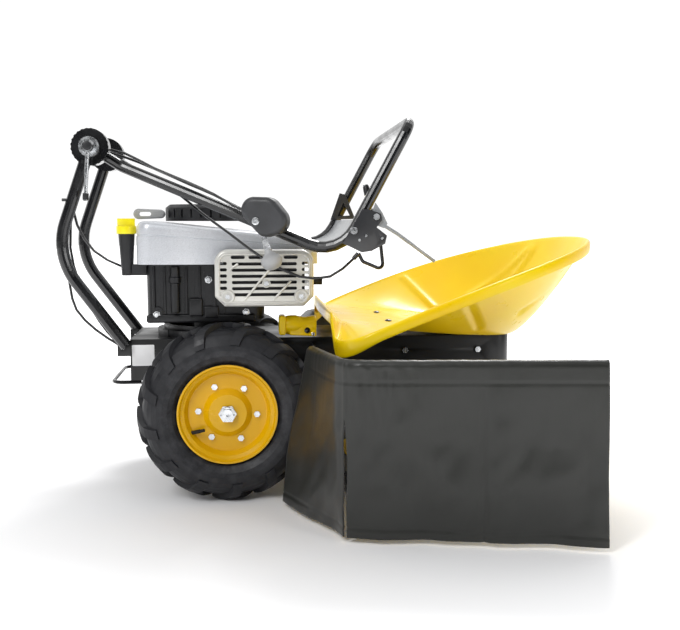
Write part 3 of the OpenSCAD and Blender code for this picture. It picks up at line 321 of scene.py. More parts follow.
# ---- helpers for pieces ----
def addPiece(name, mesh, look, body, smoothBelow=35):
    piece = bpy.data.objects.new(name, mesh)
    scene.collection.objects.link(piece)
    mesh.materials.clear()
    mesh.materials.append(looks[look])
    mesh.polygons.foreach_set("use_smooth", [True] * len(mesh.polygons))
    mesh.set_sharp_from_angle(angle=math.radians(smoothBelow))
    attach(piece, body)
    return piece


def meshFrom(name, points, faces):
    mesh = bpy.data.meshes.new(name)
    mesh.from_pydata([tuple(p) for p in points], [], faces)
    mesh.validate()
    bm = bmesh.new()
    bm.from_mesh(mesh)
    bmesh.ops.recalc_face_normals(bm, faces=bm.faces)
    bm.to_mesh(mesh)
    bm.free()
    return mesh


def eased(nodeName, name, look, body, width, segments=3, angle=32, smoothBelow=40):
    # the CAD solid again, with its edges broken to a small radius, in the CAD solid's place
    mesh = nodes[nodeName].data.copy()
    bm = bmesh.new()
    bm.from_mesh(mesh)
    bmesh.ops.remove_doubles(bm, verts=bm.verts, dist=1e-5)
    bmesh.ops.dissolve_limit(bm, angle_limit=math.radians(1.5), verts=bm.verts, edges=bm.edges)
    sharp = [e for e in bm.edges if len(e.link_faces) == 2 and e.calc_face_angle(0) > math.radians(angle)]
    bmesh.ops.bevel(bm, geom=sharp, offset=width / 1000, segments=segments, profile=0.5, affect="EDGES",
                    clamp_overlap=True)
    bmesh.ops.recalc_face_normals(bm, faces=bm.faces)
    bm.to_mesh(mesh)
    bm.free()
    piece = addPiece(name, mesh, look, body, smoothBelow)
    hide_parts(nodeName)
    return piece


def sweep(points, radius, sides=12):
    # a round bar through the points, its ends closed
    rings, count = [], len(points)
    side = Vector((0.31, 0.2, 0.93))
    for i, point in enumerate(points):
        ahead = (points[min(i + 1, count - 1)] - points[max(i - 1, 0)]).normalized()
        side = (side - ahead * side.dot(ahead)).normalized()
        across = ahead.cross(side)
        rings.append([point + radius * (side * math.cos(a) + across * math.sin(a))
                      for a in [2 * math.pi * k / sides for k in range(sides)]])
    return rings


def skin(name, rings, closed=True, capped=True):
    # joins rings that have the same number of points, and closes the two ends
    sides, count = len(rings[0]), len(rings)
    across = sides if closed else sides - 1
    faces = [[j * sides + k, j * sides + (k + 1) % sides,
              (j + 1) * sides + (k + 1) % sides, (j + 1) * sides + k]
             for j in range(count - 1) for k in range(across)]
    if capped:
        faces += [list(range(sides))[::-1], [(count - 1) * sides + k for k in range(sides)]]
    return meshFrom(name, [p for ring in rings for p in ring], faces)


def turned(name, start, axis, profile, sides=32):
    # a turned shape: profile pairs are (along, radius) in millimetres, along the axis from start
    axis = Vector(axis).normalized()
    side = axis.orthogonal().normalized()
    across = axis.cross(side)
    rings = []
    for along, radius in profile:
        centre = Vector(start) + axis * along
        rings.append([fromAxle(*(centre + radius * (side * math.cos(a) + across * math.sin(a))))
                      for a in [2 * math.pi * k / sides for k in range(sides)]])
    return skin(name, rings)


def outlineAt(circles, inset, steps=96):
    # the tight outline round some circles (x, z, radius), drawn in by inset
    ring = []
    for k in range(steps):
        u = (math.cos(2 * math.pi * k / steps), math.sin(2 * math.pi * k / steps))
        x, z, r = max(circles, key=lambda c: c[0] * u[0] + c[1] * u[1] + c[2])
        ring.append((x + (r - inset) * u[0], z + (r - inset) * u[1]))
    return ring


def pillow(name, circles, back, front, edge, place, backEdge=0.0, steps=96):
    # a slab with this outline, from back to front, its front edge rounded over by edge
    rings = []
    turns = 7
    sense = 1 if front > back else -1
    if backEdge:
        rings.append([place(x, back, z) for x, z in outlineAt(circles, backEdge, steps)])
        rings.append([place(x, back + sense * backEdge * 0.3, z)
                      for x, z in outlineAt(circles, backEdge * 0.3, steps)])
        rings.append([place(x, back + sense * backEdge, z) for x, z in outlineAt(circles, 0, steps)])
    else:
        rings.append([place(x, back, z) for x, z in outlineAt(circles, 0, steps)])
    for k in range(turns + 1):
        a = math.pi / 2 * k / turns
        level = front - sense * edge * (1 - math.sin(a))
        rings.append([place(x, level, z) for x, z in outlineAt(circles, edge * (1 - math.cos(a)), steps)])
    return skin(name, rings)


def carved(mesh, cutters):
    # the mesh with the cutter meshes taken out of it
    whole = bpy.data.objects.new("whole", mesh)
    scene.collection.objects.link(whole)
    tools = []
    for cutter in cutters:
        tool = bpy.data.objects.new("tool", cutter)
        scene.collection.objects.link(tool)
        cut = whole.modifiers.new("cut", "BOOLEAN")
        cut.operation, cut.object, cut.solver = "DIFFERENCE", tool, "EXACT"
        tools.append(tool)
    graph = bpy.context.evaluated_depsgraph_get()
    result = bpy.data.meshes.new_from_object(whole.evaluated_get(graph))
    for leftover in [whole] + tools:
        bpy.data.objects.remove(leftover)
    result.name = mesh.name
    return result


def joined(name, meshes):
    bm = bmesh.new()
    for mesh in meshes:
        bm.from_mesh(mesh)
    result = bpy.data.meshes.new(name)
    bm.to_mesh(result)
    bm.free()
    return result


def easeStep(t):
    u = min(max(t, 0), 1)
    return u * u * (3 - 2 * u)


# ---- side shields of coated cloth ----
shields = {
    "rail": ((190, 265, -14), (238, 505, -8), (734.5, 607.8, 1)),
    "bend": 30,             # radius of the rail's corner
    "sleeveRadius": 12.2,
    "clearance": 11,        # above the ground
    "footBack": (124, 267),  # where the rear flap's free corner hangs
    "overhang": 9,
    "slitTop": -107,
    "slitWidth": 8,
    "seam": 31,             # stitched line below the rail
    "hem": 20,              # stitched line above the lower edge
    "thickness": 2.4,
    "rearColumns": 54,
    "sideColumns": 116,
    "rows": 96,
    "sleeveTurn": 310,      # degrees of the rail that the sleeve wraps
    "sleeveRing": 20,
    "dents": (105, 140, 21),      # length, height and depth of the large dents
    "ripples": (38, 60, 4.4),     # and of the small ones
    "rippleSlant": 90,
    "puckers": (9, 40, 3.4),      # and of those gathered at the corner
    "gathered": (300, 90),        # where along the cloth, and how far each way
    "crease": (516, 5, -5.5),     # fold line: place, width and depth
    "swell": (540, 22, 5),        # the fuller cloth ahead of it
    "flat": (0.78, 0.415),        # metres: along the rail with the flap, and down with the sleeve
}


def railPoint(stretch, t):
    # the rail's middle line: the rear stretch, or the side stretch, with half of the bend in each
    back, corner, front = (Vector(p) for p in shields["rail"])
    start, end = (back, corner) if stretch == "rear" else (corner, front)
    p = start.lerp(end, t)
    near = (1 - t if stretch == "rear" else t) * (end - start).length / shields["bend"]
    inward = ((back - corner).normalized() + (front - corner).normalized()).normalized()
    return p + inward * shields["bend"] * 0.35 * (1 - easeStep(near))


def clothOffset(s, drop, height, seed):
    # how far the cloth stands out at s along it and drop below the rail (millimetres)
    q = shields
    v = drop / height
    long, tall, deep = q["dents"]
    dents = noise.noise(Vector((s / long, drop / tall, seed))) * deep
    long, tall, deep = q["ripples"]
    small = noise.noise(Vector((s / long + drop / q["rippleSlant"], drop / tall, seed + 4))) * deep
    gatheredAt, reach = q["gathered"]
    gather = math.exp(-((s - gatheredAt) / reach) ** 2) * math.exp(-drop / reach)
    long, tall, deep = q["puckers"]
    pucker = noise.noise(Vector((s / long, drop / tall, seed + 9))) * deep * gather
    creaseAt, creaseWide, creaseDeep = q["crease"]
    swellAt, swellWide, swellHigh = q["swell"]
    crease = creaseDeep * math.exp(-((s - creaseAt) / creaseWide) ** 2)
    crease += swellHigh * math.exp(-((s - swellAt) / swellWide) ** 2)
    seam = -1.5 * math.exp(-((drop - q["seam"]) / 2.6) ** 2)
    hem = -1.4 * math.exp(-((height - q["hem"] - drop) / 2.4) ** 2)
    hem += 0.9 * easeStep((drop - height + q["hem"]) / 4)
    return (dents + small) * min(1, v * 2.2) * 0.62 + pucker + crease * min(1, v * 3) * 0.7 + seam + hem


def shieldColumn(stretch, t, s, seed):
    q = shields
    back, corner, front = (Vector(p) for p in q["rail"])
    level = Vector((front.x - corner.x, front.y - corner.y, 0)).normalized()
    low = q["clearance"] - deckTop * 1000
    if stretch == "rear":
        foot = Vector((*q["footBack"], low)).lerp(Vector((corner.x + 2, corner.y + 2, low)), t)
        blend = easeStep((t - 0.86) / 0.14) * 0.5
    else:
        footLength = (front - corner).length + q["overhang"]
        foot = Vector((corner.x + 2, corner.y + 2, low)) + level * t * footLength
        blend = 0.5 * (1 - easeStep(t / 0.07))
    rearOut = Vector((-1, 0.2, 0)).normalized()
    sideOut = Vector((-level.y, level.x, 0))
    own, other = (rearOut, sideOut) if stretch == "rear" else (sideOut, rearOut)
    outward = (own * (1 - blend) + other * blend).normalized()
    centre = railPoint(stretch, t)
    r = q["sleeveRadius"] + noise.noise(Vector((s / 15, seed, 2.0))) * 0.8
    column = []
    for k in range(q["sleeveRing"]):
        a = math.radians(q["sleeveTurn"] - q["sleeveTurn"] * k / (q["sleeveRing"] - 1))
        column.append(centre + outward * (r * math.cos(a)) + Vector((0, 0, r * math.sin(a))))
    top = column[-1]
    height = top.z - low
    for k in range(1, q["rows"] + 1):
        drop = height * k / q["rows"]
        p = top.lerp(foot + outward * 2, k / q["rows"])
        p = p + outward * clothOffset(s, drop, height, seed)
        if p.z < q["slitTop"]:
            apart = q["slitWidth"] / 2 * easeStep((q["slitTop"] - p.z) / 60)
            edge = easeStep(1 - (1 - t if stretch == "rear" else t) * 9)
            rearward = (Vector((*q["footBack"], 0)) - Vector((corner.x, corner.y, 0))).normalized()
            p = p + (rearward if stretch == "rear" else level) * apart * edge
        column.append(p)
    return column


def shieldCloth(sideName, sign):
    q = shields
    back, corner, front = (Vector(p) for p in q["rail"])
    rearLength = (corner - back).length
    sideLength = (front - corner).length
    seed = 3.1 if sign > 0 else 8.7
    bm = bmesh.new()
    for stretch, count, start, length in (("rear", q["rearColumns"], 0, rearLength),
                                          ("side", q["sideColumns"], rearLength, sideLength)):
        columns = []
        for i in range(count + 1):
            t = i / count
            column = shieldColumn(stretch, t, start + length * t, seed)
            columns.append([bm.verts.new(fromAxle(p.x, sign * p.y, p.z)) for p in column])
        for left, right in zip(columns, columns[1:]):
            for k in range(len(left) - 1):
                bm.faces.new((left[k], left[k + 1], right[k + 1], right[k]))
    bmesh.ops.remove_doubles(bm, verts=bm.verts, dist=0.0004)
    bmesh.ops.recalc_face_normals(bm, faces=bm.faces)
    name = "sideShield" + sideName
    mesh = bpy.data.meshes.new(name)
    bm.to_mesh(mesh)
    bm.free()
    piece = addPiece(name, mesh, "coatedCloth", "chassis", 180)
    solid = piece.modifiers.new("thickness", "SOLIDIFY")
    solid.thickness = q["thickness"] / 1000
    solid.offset = 0
    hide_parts("side_shield_" + sideName.lower())
    return piece


def flatArea(piece):
    return sum(p.area for p in piece.data.polygons)


for sideName, sign in (("Left", 1), ("Right", -1)):
    cloth = shieldCloth(sideName, sign)
    along, down = shields["flat"]
    print("shield", sideName, "area", round(flatArea(cloth), 4))
print("shields hung")


# ---- the pressed tray, with its rolled lip and ribs ----
tray = {
    "rim": (240, 886, 402),      # back, front and half-width of the rim
    "floor": (268, 718, 250),
    "front": 898,
    "slope": 0.34,
    "crown": 17,
    "low": 21,
    "lip": 22,
    "sheet": 3,
    "angles": 260,
    "wallSteps": 30,
    "ribs": (((836, 182, 203), (680, 229, 68), 15, 6), ((849, 167, 205), (790, 167, 129), 13, 5),
             ((511, 384, 111), (577, 245, 33), 12, 5)),   # two ends, half-width and height
    "boltsAt": 390,
    "floorAtBolts": 34,
    "floorFall": 0.102,
    "middle": 480,
    "widest": 0.24,              # share of the length where it is widest
    "backSquare": 5.5,           # superellipse powers: the square back, the rim's and the floor's nose
    "rimNose": 2.3,
    "floorNose": 2.1,
    "slopeFrom": 262,
    "scuttle": 54,               # how high the rear edge stands up in the middle
    "scuttleSide": (300, 70),    # half-width where it ends, and over how far
    "scuttleFront": (330, 80),   # where it ends forwards, and over how far
    # the rolled lip: out, up, and the share of its depth
    "lipProfile": ((2.5, 2.6, 0), (5, 3.9, 0), (7.6, 3.6, 0), (9.8, 2, 0), (11.3, -0.8, 0), (12, -4.5, 0),
                   (12, 0, 0.55), (11.9, 0, 0.84), (11.2, 0, 0.96), (10.2, 0, 1), (9.2, 0, 0.96),
                   (9, 0, 0.8), (8.6, -5, 0), (6, 0.4, 0)),
}


def loopAt(a, back, front, half, nose):
    c, s = math.cos(a), math.sin(a)
    middle = back + (front - back) * tray["widest"]
    power = nose if c > 0 else tray["backSquare"]
    reach = front - middle if c > 0 else middle - back
    return (middle + math.copysign(abs(c) ** (2 / power), c) * reach,
            half * math.copysign(abs(s) ** (2 / power), s))


def floorHeight(x):
    return tray["floorAtBolts"] - tray["floorFall"] * (x - tray["boltsAt"])


def rimAt(a):
    x, y = loopAt(a, *tray["rim"], tray["rimNose"])
    side, sideFade = tray["scuttleSide"]
    ahead, aheadFade = tray["scuttleFront"]
    scuttle = tray["scuttle"] * easeStep((side - abs(y)) / sideFade) * easeStep((ahead - x) / aheadFade)
    arch = tray["crown"] * math.sin(math.pi * (x - tray["rim"][0]) / (tray["front"] - tray["rim"][0]))
    return Vector((x, y, tray["low"] + tray["slope"] * (x - tray["slopeFrom"]) + scuttle + arch))


def floorAt(a, share):
    x, y = loopAt(a, *tray["floor"], tray["floorNose"])
    x, y = tray["middle"] + (x - tray["middle"]) * share, y * share
    return Vector((x, y, floorHeight(x)))


def lipDrop(a):
    p = rimAt(a)
    return tray["lip"] * (1 + 0.55 * easeStep((340 - p.x) / 90) * easeStep((abs(p.y) - 250) / 60))


def trayOutward(a):
    p = rimAt(a)
    return Vector((p.x - tray["middle"], p.y * 1.1, 0)).normalized()


def ribLift(p):
    mirrored = Vector((p.x, abs(p.y), p.z))
    lift = 0
    for start, end, half, height in tray["ribs"]:
        a, b = Vector(start), Vector(end)
        t = min(max((mirrored - a).dot(b - a) / (b - a).length_squared, 0), 1)
        lift = max(lift, height * easeStep(1.25 * (1 - (mirrored - a.lerp(b, t)).length / half)))
    return lift


def evenAngles(count):
    # angles that space the points evenly along the rim
    fine = [2 * math.pi * k / 4000 for k in range(4001)]
    places = [rimAt(a) for a in fine]
    along = [0.0]
    for p, n in zip(places, places[1:]):
        along.append(along[-1] + (n - p).length)
    angles, k = [], 0
    for i in range(count):
        goal = along[-1] * i / count
        while along[k + 1] < goal:
            k += 1
        gap = max(along[k + 1] - along[k], 1e-9)
        angles.append(fine[k] + (fine[k + 1] - fine[k]) * (goal - along[k]) / gap)
    return angles


def trayMesh():
    angles = evenAngles(tray["angles"])
    outs = [trayOutward(a) for a in angles]

    def sheetRings(drop):
        rings = []
        for share in (0.08, 0.3, 0.55, 0.8, 0.93, 1):
            spread = drop * 0.5 * easeStep((share - 0.8) * 5)
            rings.append([floorAt(a, share) + out * spread - Vector((0, 0, drop))
                          for a, out in zip(angles, outs)])
        for step in range(1, tray["wallSteps"] + 1):
            t = (step / tray["wallSteps"]) ** 1.15
            ring = []
            for a, out in zip(angles, outs):
                low, high = floorAt(a, 1), rimAt(a)
                p = low.lerp(high, t)
                p.z = low.z + (high.z - low.z) * t ** 1.35
                p += out * drop * 0.7 - Vector((0, 0, drop * (1 - t * 0.2)))
                p += (Vector((0, 0, 0.6)) - out * 0.8) * ribLift(p) * min(1, (1 - t) * 12)
                ring.append(p)
            rings.append(ring)
        return rings

    upper, under = sheetRings(0), sheetRings(tray["sheet"])
    lip = []
    for out, up, deep in tray["lipProfile"]:
        lip.append([rimAt(a) + o * out + Vector((0, 0, up - deep * lipDrop(a)))
                    for a, o in zip(angles, outs)])
    rings = upper + lip + under[::-1]
    return skin("deflectorTray", [[fromAxle(*p) for p in ring] for ring in rings])


trayPiece = addPiece("deflectorTray", trayMesh(), "enamelYellow", "chassis", 62)
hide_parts("deflector_tray")
print("tray pressed")


# ---- edges broken on the moulded and pressed pieces ----
easedPieces = [
    ("lever_plates", "leverPlates", "platePaint", "handlebar", "plate_paint", 0.8),
    ("oil_cap", "oilCap", "capPlastic", "oil_cap", "yellow_plastic", 3.0),
    ("chassis_beam", "chassisBeam", "beamBlack", "chassis", "black_paint", 2.5),
    ("fuel_tank", "fuelTank", "blackPlastic", "chassis", "black_plastic", 8.0),
    ("clutch_lever", "clutchLever", "greyPaint", "clutch_lever", "grey_paint", 0.6),
]
for nodeName, name, look, body, slot, width in easedPieces:
    eased(nodeName, name, look, body, width)
print("edges broken on", len(easedPieces), "pieces")


# ---- bolts: bright on the beam's sides, black on the tray ----
def islandsOf(nodeName, name, keep, look, body):
    # the loose parts of a CAD node whose middle passes the test, as a piece of their own
    bm = bmesh.new()
    bm.from_mesh(nodes[nodeName].data)
    bmesh.ops.remove_doubles(bm, verts=bm.verts, dist=1e-6)
    seen, drop = set(), []
    for start in bm.verts:
        if start in seen:
            continue
        island, front = [], [start]
        seen.add(start)
        while front:
            vert = front.pop()
            island.append(vert)
            for edge in vert.link_edges:
                other = edge.other_vert(vert)
                if other not in seen:
                    seen.add(other)
                    front.append(other)
        middle = sum((v.co for v in island), Vector()) / len(island)
        if not keep(middle):
            drop += island
    bmesh.ops.delete(bm, geom=drop, context="VERTS")
    mesh = bpy.data.meshes.new(name)
    bm.to_mesh(mesh)
    bm.free()
    piece = addPiece(name, mesh, look, body, 30)
    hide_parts(nodeName)
    return piece


sideReach = 0.11
islandsOf("deck_bolts", "beamBolts", lambda middle: abs(middle.y) > sideReach, "zinc", "chassis")
islandsOf("deck_bolts", "trayBolts", lambda middle: abs(middle.y) < sideReach, "powderCoatBlack", "chassis")
print("bolts sorted")


# ---- blank plate on the beam's side ----
plate = {"size": (52, 50), "thick": 0.6, "back": -225, "top": -13, "side": -120, "corner": 0.0025}
plateBox = [fromAxle(plate["back"], plate["side"] - plate["thick"], plate["top"] - plate["size"][1]),
            fromAxle(plate["back"] + plate["size"][0], plate["side"], plate["top"])]


def roundedPlate(name, low, high, radius):
    outline = []
    for cx, cz, start in ((high.x, high.z, 0), (low.x, high.z, 90), (low.x, low.z, 180),
                          (high.x, low.z, 270)):
        ix = cx - radius if cx == high.x else cx + radius
        iz = cz - radius if cz == high.z else cz + radius
        for k in range(7):
            a = math.radians(start + 15 * k)
            outline.append((ix + radius * math.cos(a), iz + radius * math.sin(a)))
    return skin(name, [[(x, y, z) for x, z in outline] for y in (low.y, high.y)])


addPiece("blankPlate", roundedPlate("blankPlate", *plateBox, plate["corner"]), "blankVinyl", "chassis")
print("plate on")


# ---- shift box, lever and knob, in the frame of the sloping right tube ----
shiftBox = {
    "at": (100, -212.9, 288.3),
    "yaw": -18.137,
    "circles": ((-24, 14, 29), (4, 10, 32), (22, -10, 31), (4, -20, 26)),
    "back": -15,
    "front": -52,
    "edge": 12,
    "bolt": (-17, -11),
    "lean": 19,
    "reach": 91,            # from the lever's root to the middle of the knob
    "root": -33,            # how far out the lever hangs
    "slot": (-26, 22, -70, -18),    # the gap the lever swings in: back, front, low and high
    "slotDepth": (-41, -25),
    # the lever's half-width at distances down it, and its rounded section
    "leverHalves": ((8, 5.2), (30, 5.2), (52, 6.4), (60, 7.4), (79, 6.6)),
    "leverSection": ((-1, -2), (-0.86, -2.8), (0.86, -2.8), (1, -2), (1, 2), (0.86, 2.8),
                     (-0.86, 2.8), (-1, 2)),
    "boltProfile": ((0, 8.6), (2.6, 8.6), (3.4, 8.2), (3.6, 7), (3.6, 4), (2.4, 3.4), (2.2, 0.4)),
    "knobProfile": ((-25, 8.6), (-19, 9.2), (-14, 12.5), (-9, 19.5), (-4, 22.8), (1, 23.9), (7, 23.6),
                    (13, 21), (18, 16.5), (21, 10.5), (22.2, 4)),
}


def atBox(x, y, z):
    c, s = math.cos(math.radians(shiftBox["yaw"])), math.sin(math.radians(shiftBox["yaw"]))
    bx, by, bz = shiftBox["at"]
    return fromAxle(bx + x * c - y * s, by + x * s + y * c, bz + z)


def boxTurned(name, start, axis, profile, sides=32):
    # as turned(), in the box's own frame
    axis = Vector(axis).normalized()
    side = axis.orthogonal().normalized()
    across = axis.cross(side)
    rings = [[atBox(*(Vector(start) + axis * along + radius * (side * math.cos(a) + across * math.sin(a))))
              for a in [2 * math.pi * k / sides for k in range(sides)]] for along, radius in profile]
    return skin(name, rings)


def slabBetween(name, place, corners, y0, y1):
    # a straight prism from outline corners (x, z)
    return skin(name, [[place(x, y, z) for x, z in corners] for y in (y0, y1)])


boxShell = pillow("controlBox", shiftBox["circles"], shiftBox["back"], shiftBox["front"], shiftBox["edge"],
                  atBox, 4)
slotBack, slotFront, slotLow, slotHigh = shiftBox["slot"]
slotCorners = ((slotBack, slotLow), (slotFront, slotLow), (slotFront, slotHigh), (slotBack, slotHigh))
slot = slabBetween("slot", atBox, slotCorners, *shiftBox["slotDepth"])
boxPiece = addPiece("controlBox", carved(boxShell, [slot]), "boxPlastic", "handlebar", 30)
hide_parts("control_box")
boltX, boltZ = shiftBox["bolt"]
bolt = boxTurned("boxBolt", (boltX, shiftBox["front"] + 2, boltZ), (0, -1, 0),
                 shiftBox["boltProfile"])
addPiece("boxBolt", bolt, "zinc", "handlebar")
lean = math.radians(shiftBox["lean"])
down = Vector((math.sin(lean), 0, -math.cos(lean)))
across = Vector((math.cos(lean), 0, math.sin(lean)))
root = Vector((boltX, shiftBox["root"], boltZ))
leverRings = []
for along, half in shiftBox["leverHalves"]:
    centre = root + down * along
    leverRings.append([atBox(*(centre + across * half * u + Vector((0, v, 0))))
                       for u, v in shiftBox["leverSection"]])
lever = addPiece("shiftLever", skin("shiftLever", leverRings), "zinc", "shift_lever", 30)
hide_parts("shift_lever")
knob = boxTurned("shiftKnob", root + down * shiftBox["reach"], down, shiftBox["knobProfile"], 40)
knobPiece = addPiece("shiftKnob", knob, "knobPlastic", "shift_lever", 60)
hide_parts("shift_lever")
print("shift box built")


# ---- exhaust guard: a rounded pressing with louvres, a bead round it and slanting ribs ----
guard = {
    "at": (87, -200, 148),      # middle of its face
    "circles": ((-83, 35, 30), (83, 35, 30), (105, -39, 8), (-105, -39, 8), (87, -57, 8), (-87, -57, 8)),
    "slots": (29, 15, 1, -13, -27, -41),
    "slotHalf": 74,
    "front": -3,
    "back": 48,
    "screws": ((-84, -42), (84, -42)),
    "edge": 8,
    "sheet": 3.4,
    "openTo": 60,               # the hollow runs past the back
    "slotHigh": 7.5,
    "sideSlots": (93, 8, -30),  # their middle, half-width and the level above which they are cut
    "topSlots": (-76, 40, 32, 44, 52),     # back end, pitch, length, low and high
    "ribs": ((-46, -50, 26, 38), (20, -50, 60, -6), (-60, 33, -78, 20)),
    "screwSeat": ((2, 17), (4, 16.6), (6, 15), (6.4, 13), (5.4, 10.4), (3.2, 9.6), (3.1, 1)),
    "middleSeat": ((2, 10), (3.6, 9.6), (4.2, 7.4), (3.2, 6.4), (3.2, 1)),
}


def atGuard(x, y, z):
    gx, gy, gz = guard["at"]
    return fromAxle(gx + x, gy + y, gz + z)


def guardTurned(name, x, z, profile, sides=28):
    gx, gy, gz = guard["at"]
    return turned(name, (gx + x, gy, gz + z), (0, -1, 0), profile, sides)


def louvre(x0, x1, z0, z1):
    r = min(x1 - x0, z1 - z0) / 2 - 0.2
    corners = ((x0 + r, z0 + r, r), (x1 - r, z0 + r, r), (x1 - r, z1 - r, r), (x0 + r, z1 - r, r))
    return skin("louvre", [[atGuard(x, y, z) for x, z in outlineAt(corners, 0, 20)] for y in (-9, 9)])


guardShell = pillow("muffler_guard", guard["circles"], guard["back"], guard["front"], guard["edge"],
                    atGuard)
hollowEnds = (guard["openTo"], guard["front"] + guard["sheet"])
hollow = skin("hollow", [[atGuard(x, y, z) for x, z in outlineAt(guard["circles"], guard["sheet"])]
                         for y in hollowEnds])
cuts = [hollow]
sideSlot, sideHalf, lowest = guard["sideSlots"]
for z in guard["slots"]:
    cuts.append(louvre(-guard["slotHalf"], guard["slotHalf"], z, z + guard["slotHigh"]))
    for sign in (-1, 1):
        middle = sign * sideSlot
        if z > lowest:
            cuts.append(louvre(middle - sideHalf, middle + sideHalf, z + 1, z + 1 + guard["slotHigh"]))
topBack, pitch, topLong, topLow, topHigh = guard["topSlots"]
for i in range(4):
    cuts.append(louvre(topBack + i * pitch, topBack + topLong + i * pitch, topLow, topHigh))
guardPiece = addPiece("mufflerGuard", carved(guardShell, cuts), "silverAlloy", "chassis", 30)
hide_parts("muffler_guard")
beadLine = outlineAt(guard["circles"], 10, 120)
bead = skin("guardBead", sweep([atGuard(x, -3, z) for x, z in beadLine + beadLine[:1]], 0.0026, 10))
bars = []
for x0, z0, x1, z1 in guard["ribs"]:
    bars.append(skin("bar", sweep([atGuard(x0, -3, z0), atGuard((x0 + x1) / 2, -4, (z0 + z1) / 2),
                                   atGuard(x1, -3, z1)], 0.0028, 10)))
bosses = [guardTurned("boss", x, z, guard["screwSeat"]) for x, z in guard["screws"]]
bosses.append(guardTurned("boss", 4, -12, guard["middleSeat"]))
addPiece("guardRibs", joined("guardRibs", [bead] + bars + bosses), "silverAlloy", "chassis",
         40)
print("exhaust guard built")


# ---- engine cover: draughted sides, a groove below the top and a nose that falls away ----
cover = {"back": -210, "length": 426, "width": 280, "low": 177, "corner": 34,
         "noseFall": 0.44, "noseLong": (118, 112), "level": 60}     # the nose falls away above this level


def coverRing(inset, height):
    r = cover["corner"]
    halfY = cover["width"] / 2 - r
    noseStart, noseRun = cover["noseLong"]
    circles = [(x, y, r) for x in (r, cover["length"] - r) for y in (-halfY, halfY)]
    ring = []
    for x, y in outlineAt(circles, inset, 160):
        fall = 1 - cover["noseFall"] * easeStep((x - cover["length"] + noseStart) / noseRun)
        level = height * (fall if height > cover["level"] else 1)
        ring.append(fromAxle(cover["back"] + x, y, cover["low"] + level))
    return ring


coverProfile = ((0, 0), (0, 20), (0.2, 62), (0.5, 66), (2.4, 67.2), (2.6, 69.4), (0.9, 70.8), (1.1, 82),
                (2.4, 90), (5.2, 95.4), (10, 99), (17, 100.6), (26, 101), (33, 101))
coverPiece = addPiece("engineCover", skin("engineCover", [coverRing(i, h) for i, h in coverProfile]),
                      "silverPaint", "chassis", 30)
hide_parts("shroud")
print("engine cover built")


# ---- starter grip: a soft bar with a finger slot ----
grip = {"middle": (-186, -40, 295), "circles": ((-25, 0, 12.8), (-6, 0, 12.4), (27, 0, 10.5)),
        "slot": ((-20, 0, 4.9), (0, 0, 4.9)), "face": 9.6, "past": 12}


def atGrip(x, y, z):
    gx, gy, gz = grip["middle"]
    return fromAxle(gx + x, gy + y, gz + z)


gripShell = pillow("starterGrip", grip["circles"], grip["face"], -grip["face"], 6, atGrip, 5)
fingerSlot = skin("fingerSlot", [[atGrip(x, y, z) for x, z in outlineAt(grip["slot"], 0, 28)]
                                 for y in (-grip["past"], grip["past"])])
gripPiece = addPiece("starterGrip", carved(gripShell, [fingerSlot]), "knobPlastic", "starter_grip",
                     30)
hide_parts("starter_grip")
print("starter grip built")


# ---- yellow stud behind the tray: a lug, a waisted barrel and two screws ----
stud = {
    "barrelStart": (137, -126, 31),
    "barrelProfile": ((-4, 14), (-1, 18), (0, 21), (3, 22.6), (14, 23.6), (24, 23.4), (34, 21), (42, 19.4),
                      (52, 19.8), (62, 21.6), (70, 22.4), (73, 21)),
    "lug": ((126, 14, 5), (132, 14, 5), (132, 50, 5), (126, 50, 5)),
    "lugFaces": (-103, -149),
    "wing": ((150, 12, 4), (206, 9, 4), (206, 22, 4), (150, 26, 4)),
    "wingFaces": (-108, -146),
    "edge": 3,
    "boltAt": (188, -144, 20),
    "screwAt": (202, -144, 11),
}
barrel = turned("barrel", stud["barrelStart"], (1, 0, 0), stud["barrelProfile"], 40)
lug = pillow("lug", stud["lug"], *stud["lugFaces"], stud["edge"], fromAxle, stud["edge"], 48)
wing = pillow("wing", stud["wing"], *stud["wingFaces"], stud["edge"], fromAxle, stud["edge"], 48)
studPiece = addPiece("trayArm", joined("trayArm", [barrel, lug, wing]), "enamelYellow", "chassis",
                     34)
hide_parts("tray_arm")
addPiece("studBolt", turned("studBolt", stud["boltAt"], (0, -1, 0), (
    (0, 7), (4, 7), (5.4, 6.2), (6, 4.6), (6, 1))), "powderCoatBlack", "chassis")
addPiece("studScrew", turned("studScrew", stud["screwAt"], (0, -1, 0), (
    (0, 4.4), (2.6, 4.2), (3.4, 2.6), (3.6, 0.6))), "zinc", "chassis")
print("tray stud built")


# ---- caps and knobs in black plastic ----
def capOn(name, start, axis, length, radius, body, look="blackPlastic"):
    profile = ((0, radius), (length * 0.55, radius), (length * 0.8, radius * 0.95),
               (length * 0.95, radius * 0.8), (length, radius * 0.5), (length, 1))
    return addPiece(name, turned(name, start, axis, profile), look, body, 50)


fold = {"x": -306, "z": 446, "capOut": -164.3, "tipOut": -156.5, "leverReach": 106, "leverLean": 4}
capOn("clampCap", (fold["x"], fold["capOut"], fold["z"]), (0, -1, 0), 7, 10.5, "clamp_lever")
tipLean = math.radians(fold["leverLean"])
tipDown = (-math.sin(tipLean), 0, -math.cos(tipLean))
tipX = fold["x"] - fold["leverReach"] * math.sin(tipLean)
tipZ = fold["z"] - fold["leverReach"] * math.cos(tipLean)
capOn("clampTip", (tipX, fold["tipOut"], tipZ), tipDown, 17, 6.8, "clamp_lever")
capOn("latchKnob", (318, -242, 336), (-4, 4, 23), 23, 7.4, "latch_lever")
print("caps on")


